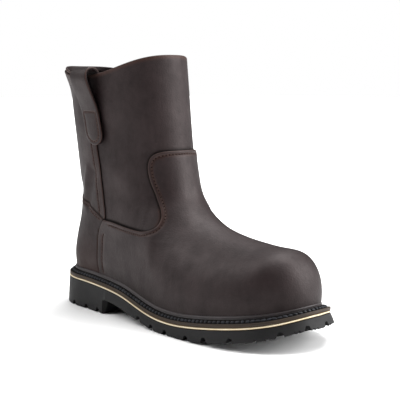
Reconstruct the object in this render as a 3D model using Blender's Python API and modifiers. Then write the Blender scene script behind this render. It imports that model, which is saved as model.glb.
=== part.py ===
"""Pull-on work boot for the right foot, standing empty on its sole.

Sizes are in millimetres, measured from the back of the heel: x to the toe, y to the left (the inner
side of this boot), z up from the floor. An empty carries the pieces to the middle of the sole, in metres.
"""
import math

import bmesh
import bpy
import numpy as np
from mathutils import Matrix

MM = 0.001
BOOT = "work_boot"
ORIGIN = "boot_origin"
SHARP_EDGE = math.radians(40)
GAP = 0.3                # clearance between pieces that lie against each other
WELT_CLEARANCE = 0.4     # between the welt and the upper that it runs round
WALL = 2.8               # upper leather with its lining
MIDSOLE_THICK = 1.8      # the pale runner that shows as a stripe
INSOLE_THICK = 3.0
HEEL_BREAST = 87.5       # front face of the heel block
LUG_DEPTH = 4.5
CUTTER_SPARE = 8.0       # how far a groove's cutter reaches past the tread
LUG_GROOVE = 5.2         # width of the grooves between lugs
LUG_LENGTH = 22.0        # edge lugs, from the edge inwards
MIDDLE_GROOVE = 38.0     # length of the grooves across the middle of the tread
BEAD_HEIGHT = 9.2        # top of the welt's bead above its seat
COLLAR_DIP = 14.0        # the collar is lower at the sides than front and back
COLLAR_FLARE = 5.0       # the top of the collar turns out at the back
DIP_FROM = 0.72          # share of the height above which the collar dips
FLARE_FROM = 0.95        # share of the height above which the collar turns out
SOLE_LINE_TO = 0.62      # share of the height up to which the sections take up the line of the sole
SWELL = 2.5              # the upper swells out above the welt
SWELL_RISE = (4, 30)     # heights above the sole between which it swells
ANKLE = (55, 140)        # heights between which the widths of the foot pass into those of the shaft
TOE_CURVE = (60, 130)    # heights between which the inward curve of the toe fades out
ROUND_FRONT = 2.15       # roundness of the shoulders: 2 is an ellipse, more is squarer
ROUND_BACK = 2.3
FLAT_SPOT = 0.2          # the ball of the tread is pressed flat by this much
STRAP_WIDTH = 26.0
STRAP_THICK = 3.0
AROUND = 60              # facets round the boot
ROWS = 24                # facets up the upper
OUTLINE_POINTS = 400     # points of the finely drawn sole outline
SOLE_STATIONS = 32       # facets along the outsole
BREAST_SLOPE = 0.004     # half of the heel's front face, as a share of the length
STRAP_ROWS = 26          # facets along a strap
STRAP_COLUMNS = 6        # facets across a strap
STRAP_ROUND = (0.02, 0.12, 0.32, 0.62)   # facets along a strap's round end, as shares of its radius
WELT_LEVELS = 0.12       # share of the upper's height that lies behind the welt

# Sections of the upper from the sole to the collar: where each one starts at the back and ends in front.
SECTIONS = {
    "back_x": (9.6, 8.6, 9.0, 10.8, 13.3, 16.0, 18.1, 19.7, 20.6, 20.8, 20.2, 18.8, 17.0, 14.8, 12.1, 8.8, 5.2),
    "back_z": (29.5, 42, 55, 67, 77, 86, 94, 102, 110, 119, 129, 140, 152, 166, 184, 207, 241),
    "front_x": (301.5, 302.7, 302.0, 298.6, 292.0, 280, 261.5, 238.5, 216, 194.6, 177.4, 163.6, 156.9, 152.4, 148.8,
                145.4, 140.7),
    "front_z": (27.5, 38, 50.5, 62, 72.2, 79.2, 80.4, 82.6, 86.4, 92.4, 102.8, 116.8, 135, 156, 180, 209.5, 250),
}
# Half widths of the foot along the boot.
FOOT = {
    "x": (0, 40, 80, 120, 160, 200, 235, 275, 306),
    "lateral": (32, 32.4, 36.4, 41.5, 46.6, 50, 49.6, 47, 45),
    "medial": (32, 32, 32, 32.5, 38, 44, 46, 44.5, 44),
    "axis": (0, 0, 0, 0, 0, 0, 0.6, 2.4, 5),
    "arch_depth": (70, 70, 70, 70, 66, 56, 48, 42, 38),
}
# Half width of the shaft, and how deep it rounds off to the front and to the back.
SHAFT = {
    "z": (25, 60, 90, 130, 180, 250),
    "half": (41, 41, 41.5, 43, 45, 47),
    "front_depth": (66, 66, 68, 70, 70, 71),
    "back_depth": (36, 38, 52, 64, 70, 71),
}
# Top and bottom of the outsole along the boot, with the arch and the toe spring.
SOLE = {
    "x": (0, 35, 70, 100, 118, 133, 150, 167, 184, 201, 217, 233, 261, 285, 301, 312),
    "top": (27.4, 26.8, 25.6, 23.6, 21.2, 17.8, 13.8, 10.9, 9.8, 10.1, 11.4, 13.2, 16.9, 20.8, 24.9, 28.8),
    "under": (14.6, 14.6, 14.6, 13.6, 10.8, 7.4, 4.0, 1.0, 0, 0, 0.5, 2.2, 6.0, 10.2, 14.6, 18.8),
}
# Edge of the sole along the foot of the upper: width of the welt, and how far the tread spreads beyond it.
EDGE = {
    "x": (0, 50, 120, 230, 285, 302),
    "welt": (9.6, 8.5, 8.0, 8.4, 10.4, 11.0),
    "flare": (1.8, 1.5, 1.5, 1.6, 3.2, 3.6),
}
# Cross-section of the welt, up from its seat: the raised bead is placed from the upper, the edge from the sole's.
WELT = {
    "from_edge": (0, 0, 0, 0, 1, 1, 1),
    "out": (0.9, 2.0, 2.9, 3.4, -0.9, 0, 0),
    "up": (9.2, 8.9, 7.6, 6.0, 3.5, 2.8, 0.0),
}
# Lug grooves: the edge ones by their share of the way round each side from the back to the toe, the middle
# ones by their place along the boot.
GROOVES = {
    "lateral": (0.06, 0.196, 0.26, 0.32, 0.48, 0.525, 0.57, 0.63, 0.684, 0.752, 0.874, 0.947),
    "medial": (0.06, 0.196, 0.26, 0.32, 0.488, 0.535, 0.583, 0.64, 0.693, 0.76, 0.84, 0.915, 0.982),
    "middle": (30, 56, 172, 197, 224, 251, 276),
}
# Path of a pull strap from its sewn end outside, over the collar, to its end inside.
STRAP = {
    "out": (2.1, 2.1, 2.3, 4.4, 7.8, 10.2, 10.4, 8.2, 3.2, -2.4, -5.6, -5.5, -5.1, -5.1),
    "z": (165, 180, 194.5, 206, 217, 226, 231.3, 236, 238.4, 237.4, 232.5, 222, 208, 196),
}
# Middle of a strap along the boot, at its foot and at the collar.
STRAP_LEAN = {"z": (160, 240), "x": (79, 63)}


def spline(knots, values, at):
    """Natural cubic curve through the values at the knots."""
    knots, values = np.asarray(knots, float), np.asarray(values, float)
    at = np.clip(np.asarray(at, float), knots[0], knots[-1])
    step = np.diff(knots)
    slope = np.diff(values) / step
    bend = np.eye(len(knots))
    load = np.zeros(len(knots))
    for i in range(1, len(knots) - 1):
        bend[i, i - 1:i + 2] = step[i - 1], 2 * (step[i - 1] + step[i]), step[i]
        load[i] = 6 * (slope[i] - slope[i - 1])
    curve = np.linalg.solve(bend, load)
    i = np.clip(np.searchsorted(knots, at) - 1, 0, len(step) - 1)
    left, right = knots[i + 1] - at, at - knots[i]
    return ((curve[i] * left ** 3 + curve[i + 1] * right ** 3) / (6 * step[i])
            + (values[i] / step[i] - curve[i] * step[i] / 6) * left
            + (values[i + 1] / step[i] - curve[i + 1] * step[i] / 6) * right)


def smooth(value, low, high):
    share = np.clip((value - low) / (high - low), 0, 1)
    return share * share * (3 - 2 * share)


def section(name, level):
    values = SECTIONS[name]
    place = spline(np.linspace(0, 1, len(values)), values, level)
    return place - COLLAR_FLARE * smooth(level, FLARE_FROM, 1) if name == "back_x" else place


LEVELS = np.linspace(0, 1, 1600)
BACK_X, BACK_Z = section("back_x", LEVELS), section("back_z", LEVELS)
FRONT_X, FRONT_Z = section("front_x", LEVELS), section("front_z", LEVELS)
TOE_TIP = int(np.argmax(FRONT_X))


def sole_top(x):
    return spline(SOLE["x"], SOLE["top"], x)


def seat(x):
    """Height on which the upper, the welt and the insole stand."""
    return sole_top(x) + GAP + MIDSOLE_THICK + GAP


def ridge(x):
    """Height of the top of the foot in the side view; none under the shaft."""
    high = np.interp(x, FRONT_X[TOE_TIP:][::-1], FRONT_Z[TOE_TIP:][::-1])
    return np.where(x < FRONT_X[-1], 1e6, high)


def rounded(share, power):
    return (1 - (1 - np.clip(share, 0, 1)) ** power) ** (1 / power)


def half_width(x, z, side):
    """Distance of the upper's surface from its axis: full in the middle, closing at front, top and back."""
    ahead = np.maximum(np.interp(z, FRONT_Z, FRONT_X) - x, 1e-9) / spline(SHAFT["z"], SHAFT["front_depth"], z)
    above = np.maximum(ridge(x) - z, 1e-9) / spline(FOOT["x"], FOOT["arch_depth"], x)
    front = 1 / np.sqrt(1 / ahead ** 2 + 1 / above ** 2)
    back = np.maximum(x - np.interp(z, BACK_Z, BACK_X), 0) / spline(SHAFT["z"], SHAFT["back_depth"], z)
    foot = spline(FOOT["x"], FOOT["lateral" if side < 0 else "medial"], x)
    foot = foot + SWELL * smooth(z - sole_top(x), *SWELL_RISE)
    shaft = spline(SHAFT["z"], SHAFT["half"], z)
    share = smooth(z, *ANKLE)
    return (foot * (1 - share) + shaft * share) * rounded(front, ROUND_FRONT) * rounded(back, ROUND_BACK)


def surface(share, level, side):
    """Point of the upper's outer face: share runs from back to front, level from sole to collar."""
    share, level = np.broadcast_arrays(np.asarray(share, float), np.asarray(level, float))
    x = section("back_x", level) * (1 - share) + section("front_x", level) * share
    z = section("back_z", level) * (1 - share) + section("front_z", level) * share
    foot_x = SECTIONS["back_x"][0] * (1 - share) + SECTIONS["front_x"][0] * share
    foot_z = SECTIONS["back_z"][0] * (1 - share) + SECTIONS["front_z"][0] * share
    z = z + (1 - smooth(level, 0, SOLE_LINE_TO)) * (seat(foot_x) - foot_z)
    z = z - COLLAR_DIP * smooth(level, DIP_FROM, 1) * np.sin(math.pi * share) ** 1.5
    y = np.where((share < 1e-9) | (share > 1 - 1e-9), 0, half_width(x, z, side))
    axis = spline(FOOT["x"], FOOT["axis"], x) * (1 - smooth(z, *TOE_CURVE))
    return np.stack([x, axis + side * y, z], axis=-1)


def loop_at(level, count=AROUND):
    """Closed loop round the upper: back, lateral side, front, medial side."""
    share = (1 - np.cos(np.linspace(0, math.pi, count // 2 + 1))) / 2
    outer = surface(share, level, -1)
    inner = surface(share, level, 1)
    return np.concatenate([outer, inner[-2:0:-1]])


def outward(loop):
    """Level normals of a closed loop."""
    along = np.roll(loop, -1, axis=0) - np.roll(loop, 1, axis=0)
    normal = np.stack([along[:, 1], -along[:, 0]], axis=1)
    return normal / np.linalg.norm(normal, axis=1)[:, None]


def edge(name, x):
    return spline(EDGE["x"], EDGE[name], x)


def offset_outline(distance, welt=0, flare=0, count=AROUND):
    """Plan outline of the foot of the upper, moved outwards, also by shares of the welt and of the flare."""
    foot = loop_at(0, count)
    reach = distance + welt * edge("welt", foot[:, 0]) + flare * edge("flare", foot[:, 0])
    return foot[:, :2] + reach[:, None] * outward(foot)


def grid_faces(rows, count, flip=False):
    """Quads between neighbouring closed loops."""
    faces = []
    for r in range(rows - 1):
        for i in range(count):
            a, b = r * count + i, r * count + (i + 1) % count
            quad = (a, b, b + count, a + count)
            faces.append(quad[::-1] if flip else quad)
    return faces


SOLE_OUTLINE = offset_outline(0, welt=1, flare=1, count=OUTLINE_POINTS)
MIDDLE_X = (SOLE_OUTLINE[:, 0].min() + SOLE_OUTLINE[:, 0].max()) / 2


def clear_scene():
    """Empty the scene and give the boot its collection, its cutters' collection and its origin."""
    for obj in list(bpy.data.objects):
        bpy.data.objects.remove(obj, do_unlink=True)
    boot = bpy.data.collections.new(BOOT)
    cutters = bpy.data.collections.new("cutters")
    for collection in (boot, cutters):
        bpy.context.scene.collection.children.link(collection)
    origin = bpy.data.objects.new(ORIGIN, None)
    origin.location.x = -MIDDLE_X * MM
    boot.objects.link(origin)
    return boot, cutters


def material(name, colour, roughness):
    mat = bpy.data.materials.new(name)
    mat.use_nodes = True
    shader = mat.node_tree.nodes["Principled BSDF"]
    shader.inputs["Base Color"].default_value = (*colour, 1)
    shader.inputs["Roughness"].default_value = roughness
    return mat


def add_piece(collection, name, mesh, mat=None):
    """One object on the boot's origin, shaded smooth except at its edges."""
    mesh.shade_smooth()
    mesh.set_sharp_from_angle(angle=SHARP_EDGE)
    obj = bpy.data.objects.new(name, mesh)
    obj.parent = bpy.data.objects[ORIGIN]
    if mat:
        mesh.materials.append(mat)
    collection.objects.link(obj)
    return obj


def loft_mesh(name, points, faces):
    mesh = bpy.data.meshes.new(name)
    mesh.from_pydata((np.asarray(points) * MM).tolist(), [], faces)
    return mesh


def ladder(levels):
    """Closed plate from loops of one count, bottom first, rung by rung from the back to the toe."""
    count = len(levels[0])
    points = np.concatenate(levels)
    faces = grid_faces(len(levels), count)
    top = (len(levels) - 1) * count
    for i in range(count // 2):
        rung = [i, i + 1]
        if count - i - 1 != i + 1:
            rung.append(count - i - 1)
        if i:
            rung.append(count - i)
        faces.append([top + k for k in rung])
        faces.append(rung[::-1])
    return points, faces


def stations(outline, shares):
    """Outline resampled at shares of its length along the boot."""
    half = len(outline) // 2
    outer = outline[:half + 1]
    inner = np.concatenate([outline[:1], outline[half:][::-1]])
    x = outline[0, 0] + (outline[half, 0] - outline[0, 0]) * shares
    lateral = np.stack([x, np.interp(x, outer[:, 0], outer[:, 1])], axis=1)
    medial = np.stack([x, np.interp(x, inner[:, 0], inner[:, 1])], axis=1)
    return np.concatenate([lateral, medial[-2:0:-1]])


def with_height(outline, z):
    return np.concatenate([outline, z[:, None]], axis=1)


def under(x):
    """Underside of the outsole: the heel block stands on the floor, then the arch, ball and toe spring."""
    return np.where(x < HEEL_BREAST, 0, np.maximum(spline(SOLE["x"], SOLE["under"], x) - FLAT_SPOT, 0))


def sole_shares():
    """Places along the outsole: close together at the rounded ends, a pair at the heel's front face."""
    shares = (1 - np.cos(np.linspace(0, math.pi, SOLE_STATIONS + 1))) / 2
    breast = (HEEL_BREAST - SOLE_OUTLINE[:, 0].min()) / np.ptp(SOLE_OUTLINE[:, 0])
    shares = shares[np.abs(shares - breast) > 3 * BREAST_SLOPE]
    return np.sort(np.concatenate([shares, (breast - BREAST_SLOPE, breast + BREAST_SLOPE)]))


def groove_cuts():
    """Middle, direction and half length of each groove: across the edge, and across the middle field."""
    half = len(SOLE_OUTLINE) // 2
    normal = outward(SOLE_OUTLINE)
    for side, way in (("lateral", 1), ("medial", -1)):
        for share in GROOVES[side]:
            i = way * round(share * half)
            middle = SOLE_OUTLINE[i] + (CUTTER_SPARE - LUG_LENGTH) / 2 * normal[i]
            yield middle, normal[i], (CUTTER_SPARE + LUG_LENGTH) / 2
    for place in GROOVES["middle"]:
        rung = stations(SOLE_OUTLINE, np.array([0, place / np.ptp(SOLE_OUTLINE[:, 0]), 1]))
        yield rung[[1, 3]].mean(axis=0), np.array([0, 1]), MIDDLE_GROOVE / 2


def build_outsole(boot, cutters):
    """Moulded rubber unit: heel block, arch, forefoot and the main lugs."""
    shares = sole_shares()
    top = stations(offset_outline(0, welt=1, count=OUTLINE_POINTS), shares)
    low = stations(SOLE_OUTLINE, shares)
    points, faces = ladder([with_height(low, under(low[:, 0])), with_height(top, sole_top(top[:, 0]))])
    rubber = material("outsole_rubber", (0.02, 0.02, 0.02), 0.7)
    sole = add_piece(boot, "outsole", loft_mesh("outsole", points, faces), rubber)
    shape = bmesh.new()
    for middle, across, reach in groove_cuts():
        low = float(under(middle[0])) - CUTTER_SPARE
        size = (2 * reach * MM, LUG_GROOVE * MM, (CUTTER_SPARE + LUG_DEPTH) * MM, 1)
        place = (*middle * MM, low * MM + size[2] / 2)
        turn = Matrix.Rotation(math.atan2(across[1], across[0]), 4, "Z")
        bmesh.ops.create_cube(shape, size=1, matrix=Matrix.Translation(place) @ turn @ Matrix.Diagonal(size))
    mesh = bpy.data.meshes.new("lug_grooves")
    shape.to_mesh(mesh)
    shape.free()
    cutter = add_piece(cutters, "lug_grooves", mesh)
    cutter.hide_render = True
    cutter.display_type = "WIRE"
    grooves = sole.modifiers.new("lug_grooves", "BOOLEAN")
    grooves.operation = "DIFFERENCE"
    grooves.solver = "EXACT"
    grooves.object = cutter


def build_plate(boot, name, outline, low, thick, mat):
    """Sheet that follows the line of the sole, such as the runner or the insole."""
    floor = low(outline[:, 0])
    points, faces = ladder([with_height(outline, floor), with_height(outline, floor + thick)])
    add_piece(boot, name, loft_mesh(name, points, faces), mat)


def build_welt(boot):
    """Rubber strip round the upper with a raised bead, stitched down through its flat edge."""
    foot = loop_at(0)
    normal = outward(foot)
    climb = np.array([loop_at(level) for level in np.linspace(0, WELT_LEVELS, ROWS + 1)])
    rise = climb[:, :, 2] - foot[:, 2]
    rows = []
    for height in (0, BEAD_HEIGHT / 2, BEAD_HEIGHT):
        row = np.array([[np.interp(height, rise[:, i], climb[:, i, k]) for k in range(3)] for i in range(AROUND)])
        row[:, :2] += WELT_CLEARANCE * normal
        rows.append(row)
    crest = rows[-1]
    for from_edge, out, up in zip(WELT["from_edge"], WELT["out"], WELT["up"]):
        row = (crest if up == BEAD_HEIGHT else foot).copy()
        reach = out + from_edge * edge("welt", foot[:, 0])
        row[:, :2] += reach[:, None] * normal
        row[:, 2] = seat(row[:, 0]) + up
        rows.append(row)
    crest[:, 2] = np.minimum(crest[:, 2], rows[3][:, 2])
    faces = grid_faces(len(rows), AROUND, flip=True)
    last = (len(rows) - 1) * AROUND
    for i in range(AROUND):
        after = (i + 1) % AROUND
        faces.append((i, after, last + after, last + i))
    mesh = loft_mesh("welt", np.concatenate(rows), faces)
    add_piece(boot, "welt", mesh, material("welt_rubber", (0.03, 0.028, 0.028), 0.6))


def build_upper(boot):
    """One leather hull from the sole to the collar, open at both ends."""
    rows = np.concatenate([loop_at(level) for level in np.linspace(0, 1, ROWS + 1)])
    leather = material("oiled_leather", (0.05, 0.035, 0.03), 0.45)
    upper = add_piece(boot, "upper", loft_mesh("upper", rows, grid_faces(ROWS + 1, AROUND)), leather)
    wall = upper.modifiers.new("wall", "SOLIDIFY")
    wall.thickness = WALL * MM
    wall.offset = -1


def strap_path():
    """Stations along a strap: distance out from the shaft, height, level normal and half width."""
    knots = np.linspace(0, 1, len(STRAP["z"]))
    fine = np.linspace(0, 1, 400)
    out, z = spline(knots, STRAP["out"], fine), spline(knots, STRAP["z"], fine)
    length = np.concatenate([[0], np.cumsum(np.hypot(np.diff(out), np.diff(z)))])
    end = STRAP_WIDTH / 2
    steps = np.concatenate([end * np.array(STRAP_ROUND), np.linspace(end, length[-1], STRAP_ROWS)])
    out, z = np.interp(steps, length, out), np.interp(steps, length, z)
    normal = np.stack([np.gradient(z, steps), -np.gradient(out, steps)], axis=1)
    normal /= np.linalg.norm(normal, axis=1)[:, None]
    half = end * np.sqrt(1 - np.clip(1 - steps / end, 0, 1) ** 2)
    return out, z, normal, half


def build_strap(boot, name, side):
    """Doubled leather pull loop sewn over the side seam and folded over the collar."""
    across = side * np.linspace(1, -1, STRAP_COLUMNS + 1)
    rim = (SECTIONS["back_z"][-1] + SECTIONS["front_z"][-1]) / 2 - COLLAR_DIP
    rows = []
    for out, z, normal, half in zip(*strap_path()):
        x = np.interp(z, STRAP_LEAN["z"], STRAP_LEAN["x"]) + half * across
        for face, order in ((0.5, 1), (-0.5, -1)):
            reach, height = (out, z) + face * STRAP_THICK * normal
            shaft = half_width(x, np.full_like(x, min(height, rim)), side)
            rows.append(np.stack([x, side * (shaft + reach), np.full_like(x, height)], axis=1)[::order])
    count = 2 * (STRAP_COLUMNS + 1)
    faces = grid_faces(len(rows) // 2, count)
    last = len(rows) // 2 * count - count
    for i in range(STRAP_COLUMNS):
        end = [i, i + 1, count - 2 - i, count - 1 - i]
        faces.append(end[::-1])
        faces.append([last + k for k in end])
    mesh = loft_mesh(name, np.concatenate(rows), faces)
    add_piece(boot, name, mesh, material(name + "_leather", (0.05, 0.035, 0.03), 0.5))


def main():
    boot, cutters = clear_scene()
    build_outsole(boot, cutters)
    runner = material("midsole_rubber", (0.6, 0.48, 0.25), 0.6)
    build_plate(boot, "midsole", offset_outline(0, welt=1), lambda x: sole_top(x) + GAP, MIDSOLE_THICK, runner)
    felt = material("insole_felt", (0.2, 0.15, 0.1), 0.9)
    build_plate(boot, "insole", offset_outline(-WALL - 2 * GAP), seat, INSOLE_THICK, felt)
    build_welt(boot)
    build_upper(boot)
    build_strap(boot, "pull_strap_lateral", -1)
    build_strap(boot, "pull_strap_medial", 1)


main()
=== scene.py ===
import math

import bmesh
import bpy
import numpy as np
from mathutils import Matrix, Vector
from mathutils.geometry import delaunay_2d_cdt
from mathutils.kdtree import KDTree


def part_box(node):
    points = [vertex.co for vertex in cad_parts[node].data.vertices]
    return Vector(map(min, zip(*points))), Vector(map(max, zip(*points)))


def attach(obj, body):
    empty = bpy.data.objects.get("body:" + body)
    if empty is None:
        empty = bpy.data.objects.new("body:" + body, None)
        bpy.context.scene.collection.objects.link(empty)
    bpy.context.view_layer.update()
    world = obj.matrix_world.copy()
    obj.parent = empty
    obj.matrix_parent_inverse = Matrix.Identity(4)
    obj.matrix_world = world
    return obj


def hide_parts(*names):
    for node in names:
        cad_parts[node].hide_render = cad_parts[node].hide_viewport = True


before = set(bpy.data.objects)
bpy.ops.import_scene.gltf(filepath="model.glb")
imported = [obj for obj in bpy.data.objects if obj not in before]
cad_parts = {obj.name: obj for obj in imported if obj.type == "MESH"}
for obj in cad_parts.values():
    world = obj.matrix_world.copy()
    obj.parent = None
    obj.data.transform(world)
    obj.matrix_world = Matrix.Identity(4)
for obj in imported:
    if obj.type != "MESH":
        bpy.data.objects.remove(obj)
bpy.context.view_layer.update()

# Lining. The inside of the upper: soft reddish-brown lining leather with a short nap, sewn to the collar and
# glued down inside the shaft and the foot. It lies on the last, the form that gives the whole boot its shape.
# Sizes are in millimetres from the back of the heel: x to the toe, y to the inner side, z up from the floor.
MM = 0.001
# Back and front lines of the upper in the side view, from the sole to the collar.
SECTIONS = {
    "back_x": (9.6, 8.6, 9.0, 10.8, 13.3, 16.0, 18.1, 19.7, 20.6, 20.8, 20.2, 18.8, 17.0,
               14.8, 12.1, 8.8, 5.2),
    "back_z": (29.5, 42, 55, 67, 77, 86, 94, 102, 110, 119, 129, 140, 152, 166, 184, 207, 241),
    "front_x": (301.5, 302.7, 302.0, 298.6, 292.0, 280, 261.5, 238.5, 216, 194.6, 177.4, 163.6, 156.9,
                152.4, 148.8, 145.4, 140.7),
    "front_z": (27.5, 38, 50.5, 62, 72.2, 79.2, 80.4, 82.6, 86.4, 92.4, 102.8, 116.8, 135,
                156, 180, 209.5, 250),
}
# Along the foot: half width of each side, sideways curve of the axis, and depth of the rounded top.
FOOT = {
    "x": (0, 40, 80, 120, 160, 200, 235, 275, 306),
    "lateral": (32, 32.4, 36.4, 41.5, 46.6, 50, 49.6, 47, 45),
    "medial": (32, 32, 32, 32.5, 38, 44, 46, 44.5, 44),
    "axis": (0, 0, 0, 0, 0, 0, 0.6, 2.4, 5),
    "arch_depth": (70, 70, 70, 70, 66, 56, 48, 42, 38),
}
# Up the shaft: half width, and depth of the rounded front and back.
SHAFT = {
    "z": (25, 60, 90, 130, 180, 250),
    "half": (41, 41, 41.5, 43, 45, 47),
    "front_depth": (66, 66, 68, 70, 70, 71),
    "back_depth": (36, 38, 52, 64, 70, 71),
}
# Top and underside of the sole, without the heel block.
SOLE = {
    "x": (0, 35, 70, 100, 118, 133, 150, 167, 184, 201, 217, 233, 261, 285, 301, 312),
    "top": (27.4, 26.8, 25.6, 23.6, 21.2, 17.8, 13.8, 10.9, 9.8, 10.1, 11.4, 13.2, 16.9, 20.8, 24.9, 28.8),
    "under": (14.6, 14.6, 14.6, 13.6, 10.8, 7.4, 4.0, 1.0, 0, 0, 0.5, 2.2, 6.0, 10.2, 14.6, 18.8),
}
GAP = 0.3                # clearance between pieces that lie against each other
RUNNER_THICK = 1.8
WALL = 2.8               # leather and lining together
COLLAR_DIP = 14.0        # the collar is lower at the sides than front and back
DIP_FROM = 0.72          # share of the height where that dip begins
DIP_POWER = 1.5          # and how soon it rises again to front and back
COLLAR_FLARE = 5.0       # the top of the collar turns out at the back
FLARE_FROM = 0.95        # from this share of the height up
SEAT_TO = 0.62           # share of the height over which the upper follows the curve of the sole
SWELL = 2.5              # the upper swells out above the welt
SWELL_SPAN = (4, 30)     # over these heights above the sole
SHAFT_SPAN = (55, 140)   # heights over which the foot's width passes into the shaft's
AXIS_SPAN = (60, 130)    # and its curved axis into a straight one
ROUND_FRONT = 2.15       # roundness of the shoulders: 2 is an ellipse, more is squarer
ROUND_BACK = 2.3
HEEL_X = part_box("upper")[0].x / MM - SECTIONS["back_x"][-1] + COLLAR_FLARE
# Soft folds of the worn-in leather: side (-1 outer, 1 inner, 0 both), two ends in the side view, half width
# and height; a trough has a negative height.
CREASES = (
    (-1, (101, 120), (130, 103), 16, -0.9),
    (-1, (96, 140), (124, 124), 9, 0.5),
    (-1, (98, 182), (122, 163), 15, -0.8),
    (-1, (168, 66), (178, 84), 12, -0.4),
    (-1, (45, 106), (60, 140), 4.5, 1.9),
    (-1, (54, 104), (70, 138), 4.5, -1.7),
    (1, (98, 116), (131, 108), 11, -2.8),
    (1, (94, 134), (132, 126), 7, 1.0),
    (1, (96, 150), (126, 140), 9, -1.2),
    (1, (150, 84), (172, 74), 10, -0.9),
    (0, (226, 44), (220, 74), 11, -0.4),
    (0, (28, 122), (46, 118), 7, -0.8),
    (0, (4, 240), (46, 233), 10, 2.0),
)
LEVELS = 1600            # steps up the back and front lines
SKIN_COLUMNS = 720
SKIN_ROWS = 400
FAR = 1e6                # stands for no limit
TINY = 1e-9


def spline(knots, values, at):
    """Natural cubic curve through the values at the knots."""
    knots = np.asarray(knots, float)
    values = np.asarray(values, float)
    at = np.clip(np.asarray(at, float), knots[0], knots[-1])
    step = np.diff(knots)
    slope = np.diff(values, axis=0) / (step if values.ndim == 1 else step[:, None])
    bend = np.eye(len(knots))
    load = np.zeros_like(values)
    for i in range(1, len(knots) - 1):
        bend[i, i - 1:i + 2] = step[i - 1], 2 * (step[i - 1] + step[i]), step[i]
        load[i] = 6 * (slope[i] - slope[i - 1])
    curve = np.linalg.solve(bend, load)
    i = np.clip(np.searchsorted(knots, at) - 1, 0, len(step) - 1)
    wide = step[i]
    left = knots[i + 1] - at
    right = at - knots[i]
    if values.ndim == 2:
        wide, left, right = wide[:, None], left[:, None], right[:, None]
    return ((curve[i] * left ** 3 + curve[i + 1] * right ** 3) / (6 * wide)
            + (values[i] / wide - curve[i] * wide / 6) * left
            + (values[i + 1] / wide - curve[i + 1] * wide / 6) * right)


def smooth(value, low, high):
    """Soft step from 0 at low to 1 at high."""
    share = np.clip((value - low) / (high - low), 0, 1)
    return share * share * (3 - 2 * share)


def section(name, level):
    """Back or front line of the upper at a level from sole to collar."""
    values = SECTIONS[name]
    place = spline(np.linspace(0, 1, len(values)), values, level)
    return place - COLLAR_FLARE * smooth(level, FLARE_FROM, 1) if name == "back_x" else place


levels = np.linspace(0, 1, LEVELS)
back_line = section("back_x", levels), section("back_z", levels)
front_line = section("front_x", levels), section("front_z", levels)
toe_tip = int(np.argmax(front_line[0]))


def sole_top(x):
    return spline(SOLE["x"], SOLE["top"], x)


def seat(x):
    """Height on which the upper, the welt and the insole stand."""
    return sole_top(x) + GAP + RUNNER_THICK + GAP


def rounded(share, power):
    """Rise from 0 to 1 over a rounded shoulder."""
    return (1 - (1 - np.clip(share, 0, 1)) ** power) ** (1 / power)


def half_width(x, z, side, clear=0.0):
    """Distance of the upper from its axis: full in the middle, closing at front, top and back."""
    ridge = np.interp(x, front_line[0][toe_tip:][::-1], front_line[1][toe_tip:][::-1])
    ridge = np.where(x < front_line[0][-1], FAR, ridge)
    ahead = np.maximum(np.interp(z, front_line[1], front_line[0]) - x, TINY)
    ahead = ahead / spline(SHAFT["z"], SHAFT["front_depth"], z)
    above = np.maximum(ridge - z, TINY) / spline(FOOT["x"], FOOT["arch_depth"], x)
    front = 1 / np.sqrt(1 / ahead ** 2 + 1 / above ** 2)
    back = x - np.interp(z, back_line[1], back_line[0])
    back = np.maximum(back, clear) / spline(SHAFT["z"], SHAFT["back_depth"], z)
    foot = spline(FOOT["x"], FOOT["lateral" if side < 0 else "medial"], x)
    foot = foot + SWELL * smooth(z - sole_top(x), *SWELL_SPAN)
    shaft = spline(SHAFT["z"], SHAFT["half"], z)
    share = smooth(z, *SHAFT_SPAN)
    return (foot * (1 - share) + shaft * share) * rounded(front, ROUND_FRONT) * rounded(back, ROUND_BACK)


def surface(share, level, side):
    """Outer face of the upper: share runs from back to front, level from sole to collar."""
    share, level = np.broadcast_arrays(np.asarray(share, float), np.asarray(level, float))
    x = section("back_x", level) * (1 - share) + section("front_x", level) * share
    z = section("back_z", level) * (1 - share) + section("front_z", level) * share
    foot_x = SECTIONS["back_x"][0] * (1 - share) + SECTIONS["front_x"][0] * share
    foot_z = SECTIONS["back_z"][0] * (1 - share) + SECTIONS["front_z"][0] * share
    z = z + (1 - smooth(level, 0, SEAT_TO)) * (seat(foot_x) - foot_z)
    z = z - COLLAR_DIP * smooth(level, DIP_FROM, 1) * np.sin(math.pi * share) ** DIP_POWER
    clear = x - section("back_x", level)
    y = np.where((share < TINY) | (share > 1 - TINY), 0, half_width(x, z, side, clear))
    axis = spline(FOOT["x"], FOOT["axis"], x) * (1 - smooth(z, *AXIS_SPAN))
    return np.stack([x, axis + side * y, z], axis=-1)


def unit(vectors):
    return vectors / np.linalg.norm(vectors, axis=-1, keepdims=True)


def skin_normals(points):
    """Outward normals of the closed skin, from its neighbours round and up the boot."""
    along = np.roll(points, -1, axis=1) - np.roll(points, 1, axis=1)
    return unit(np.cross(along, np.gradient(points, axis=0)))


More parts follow.
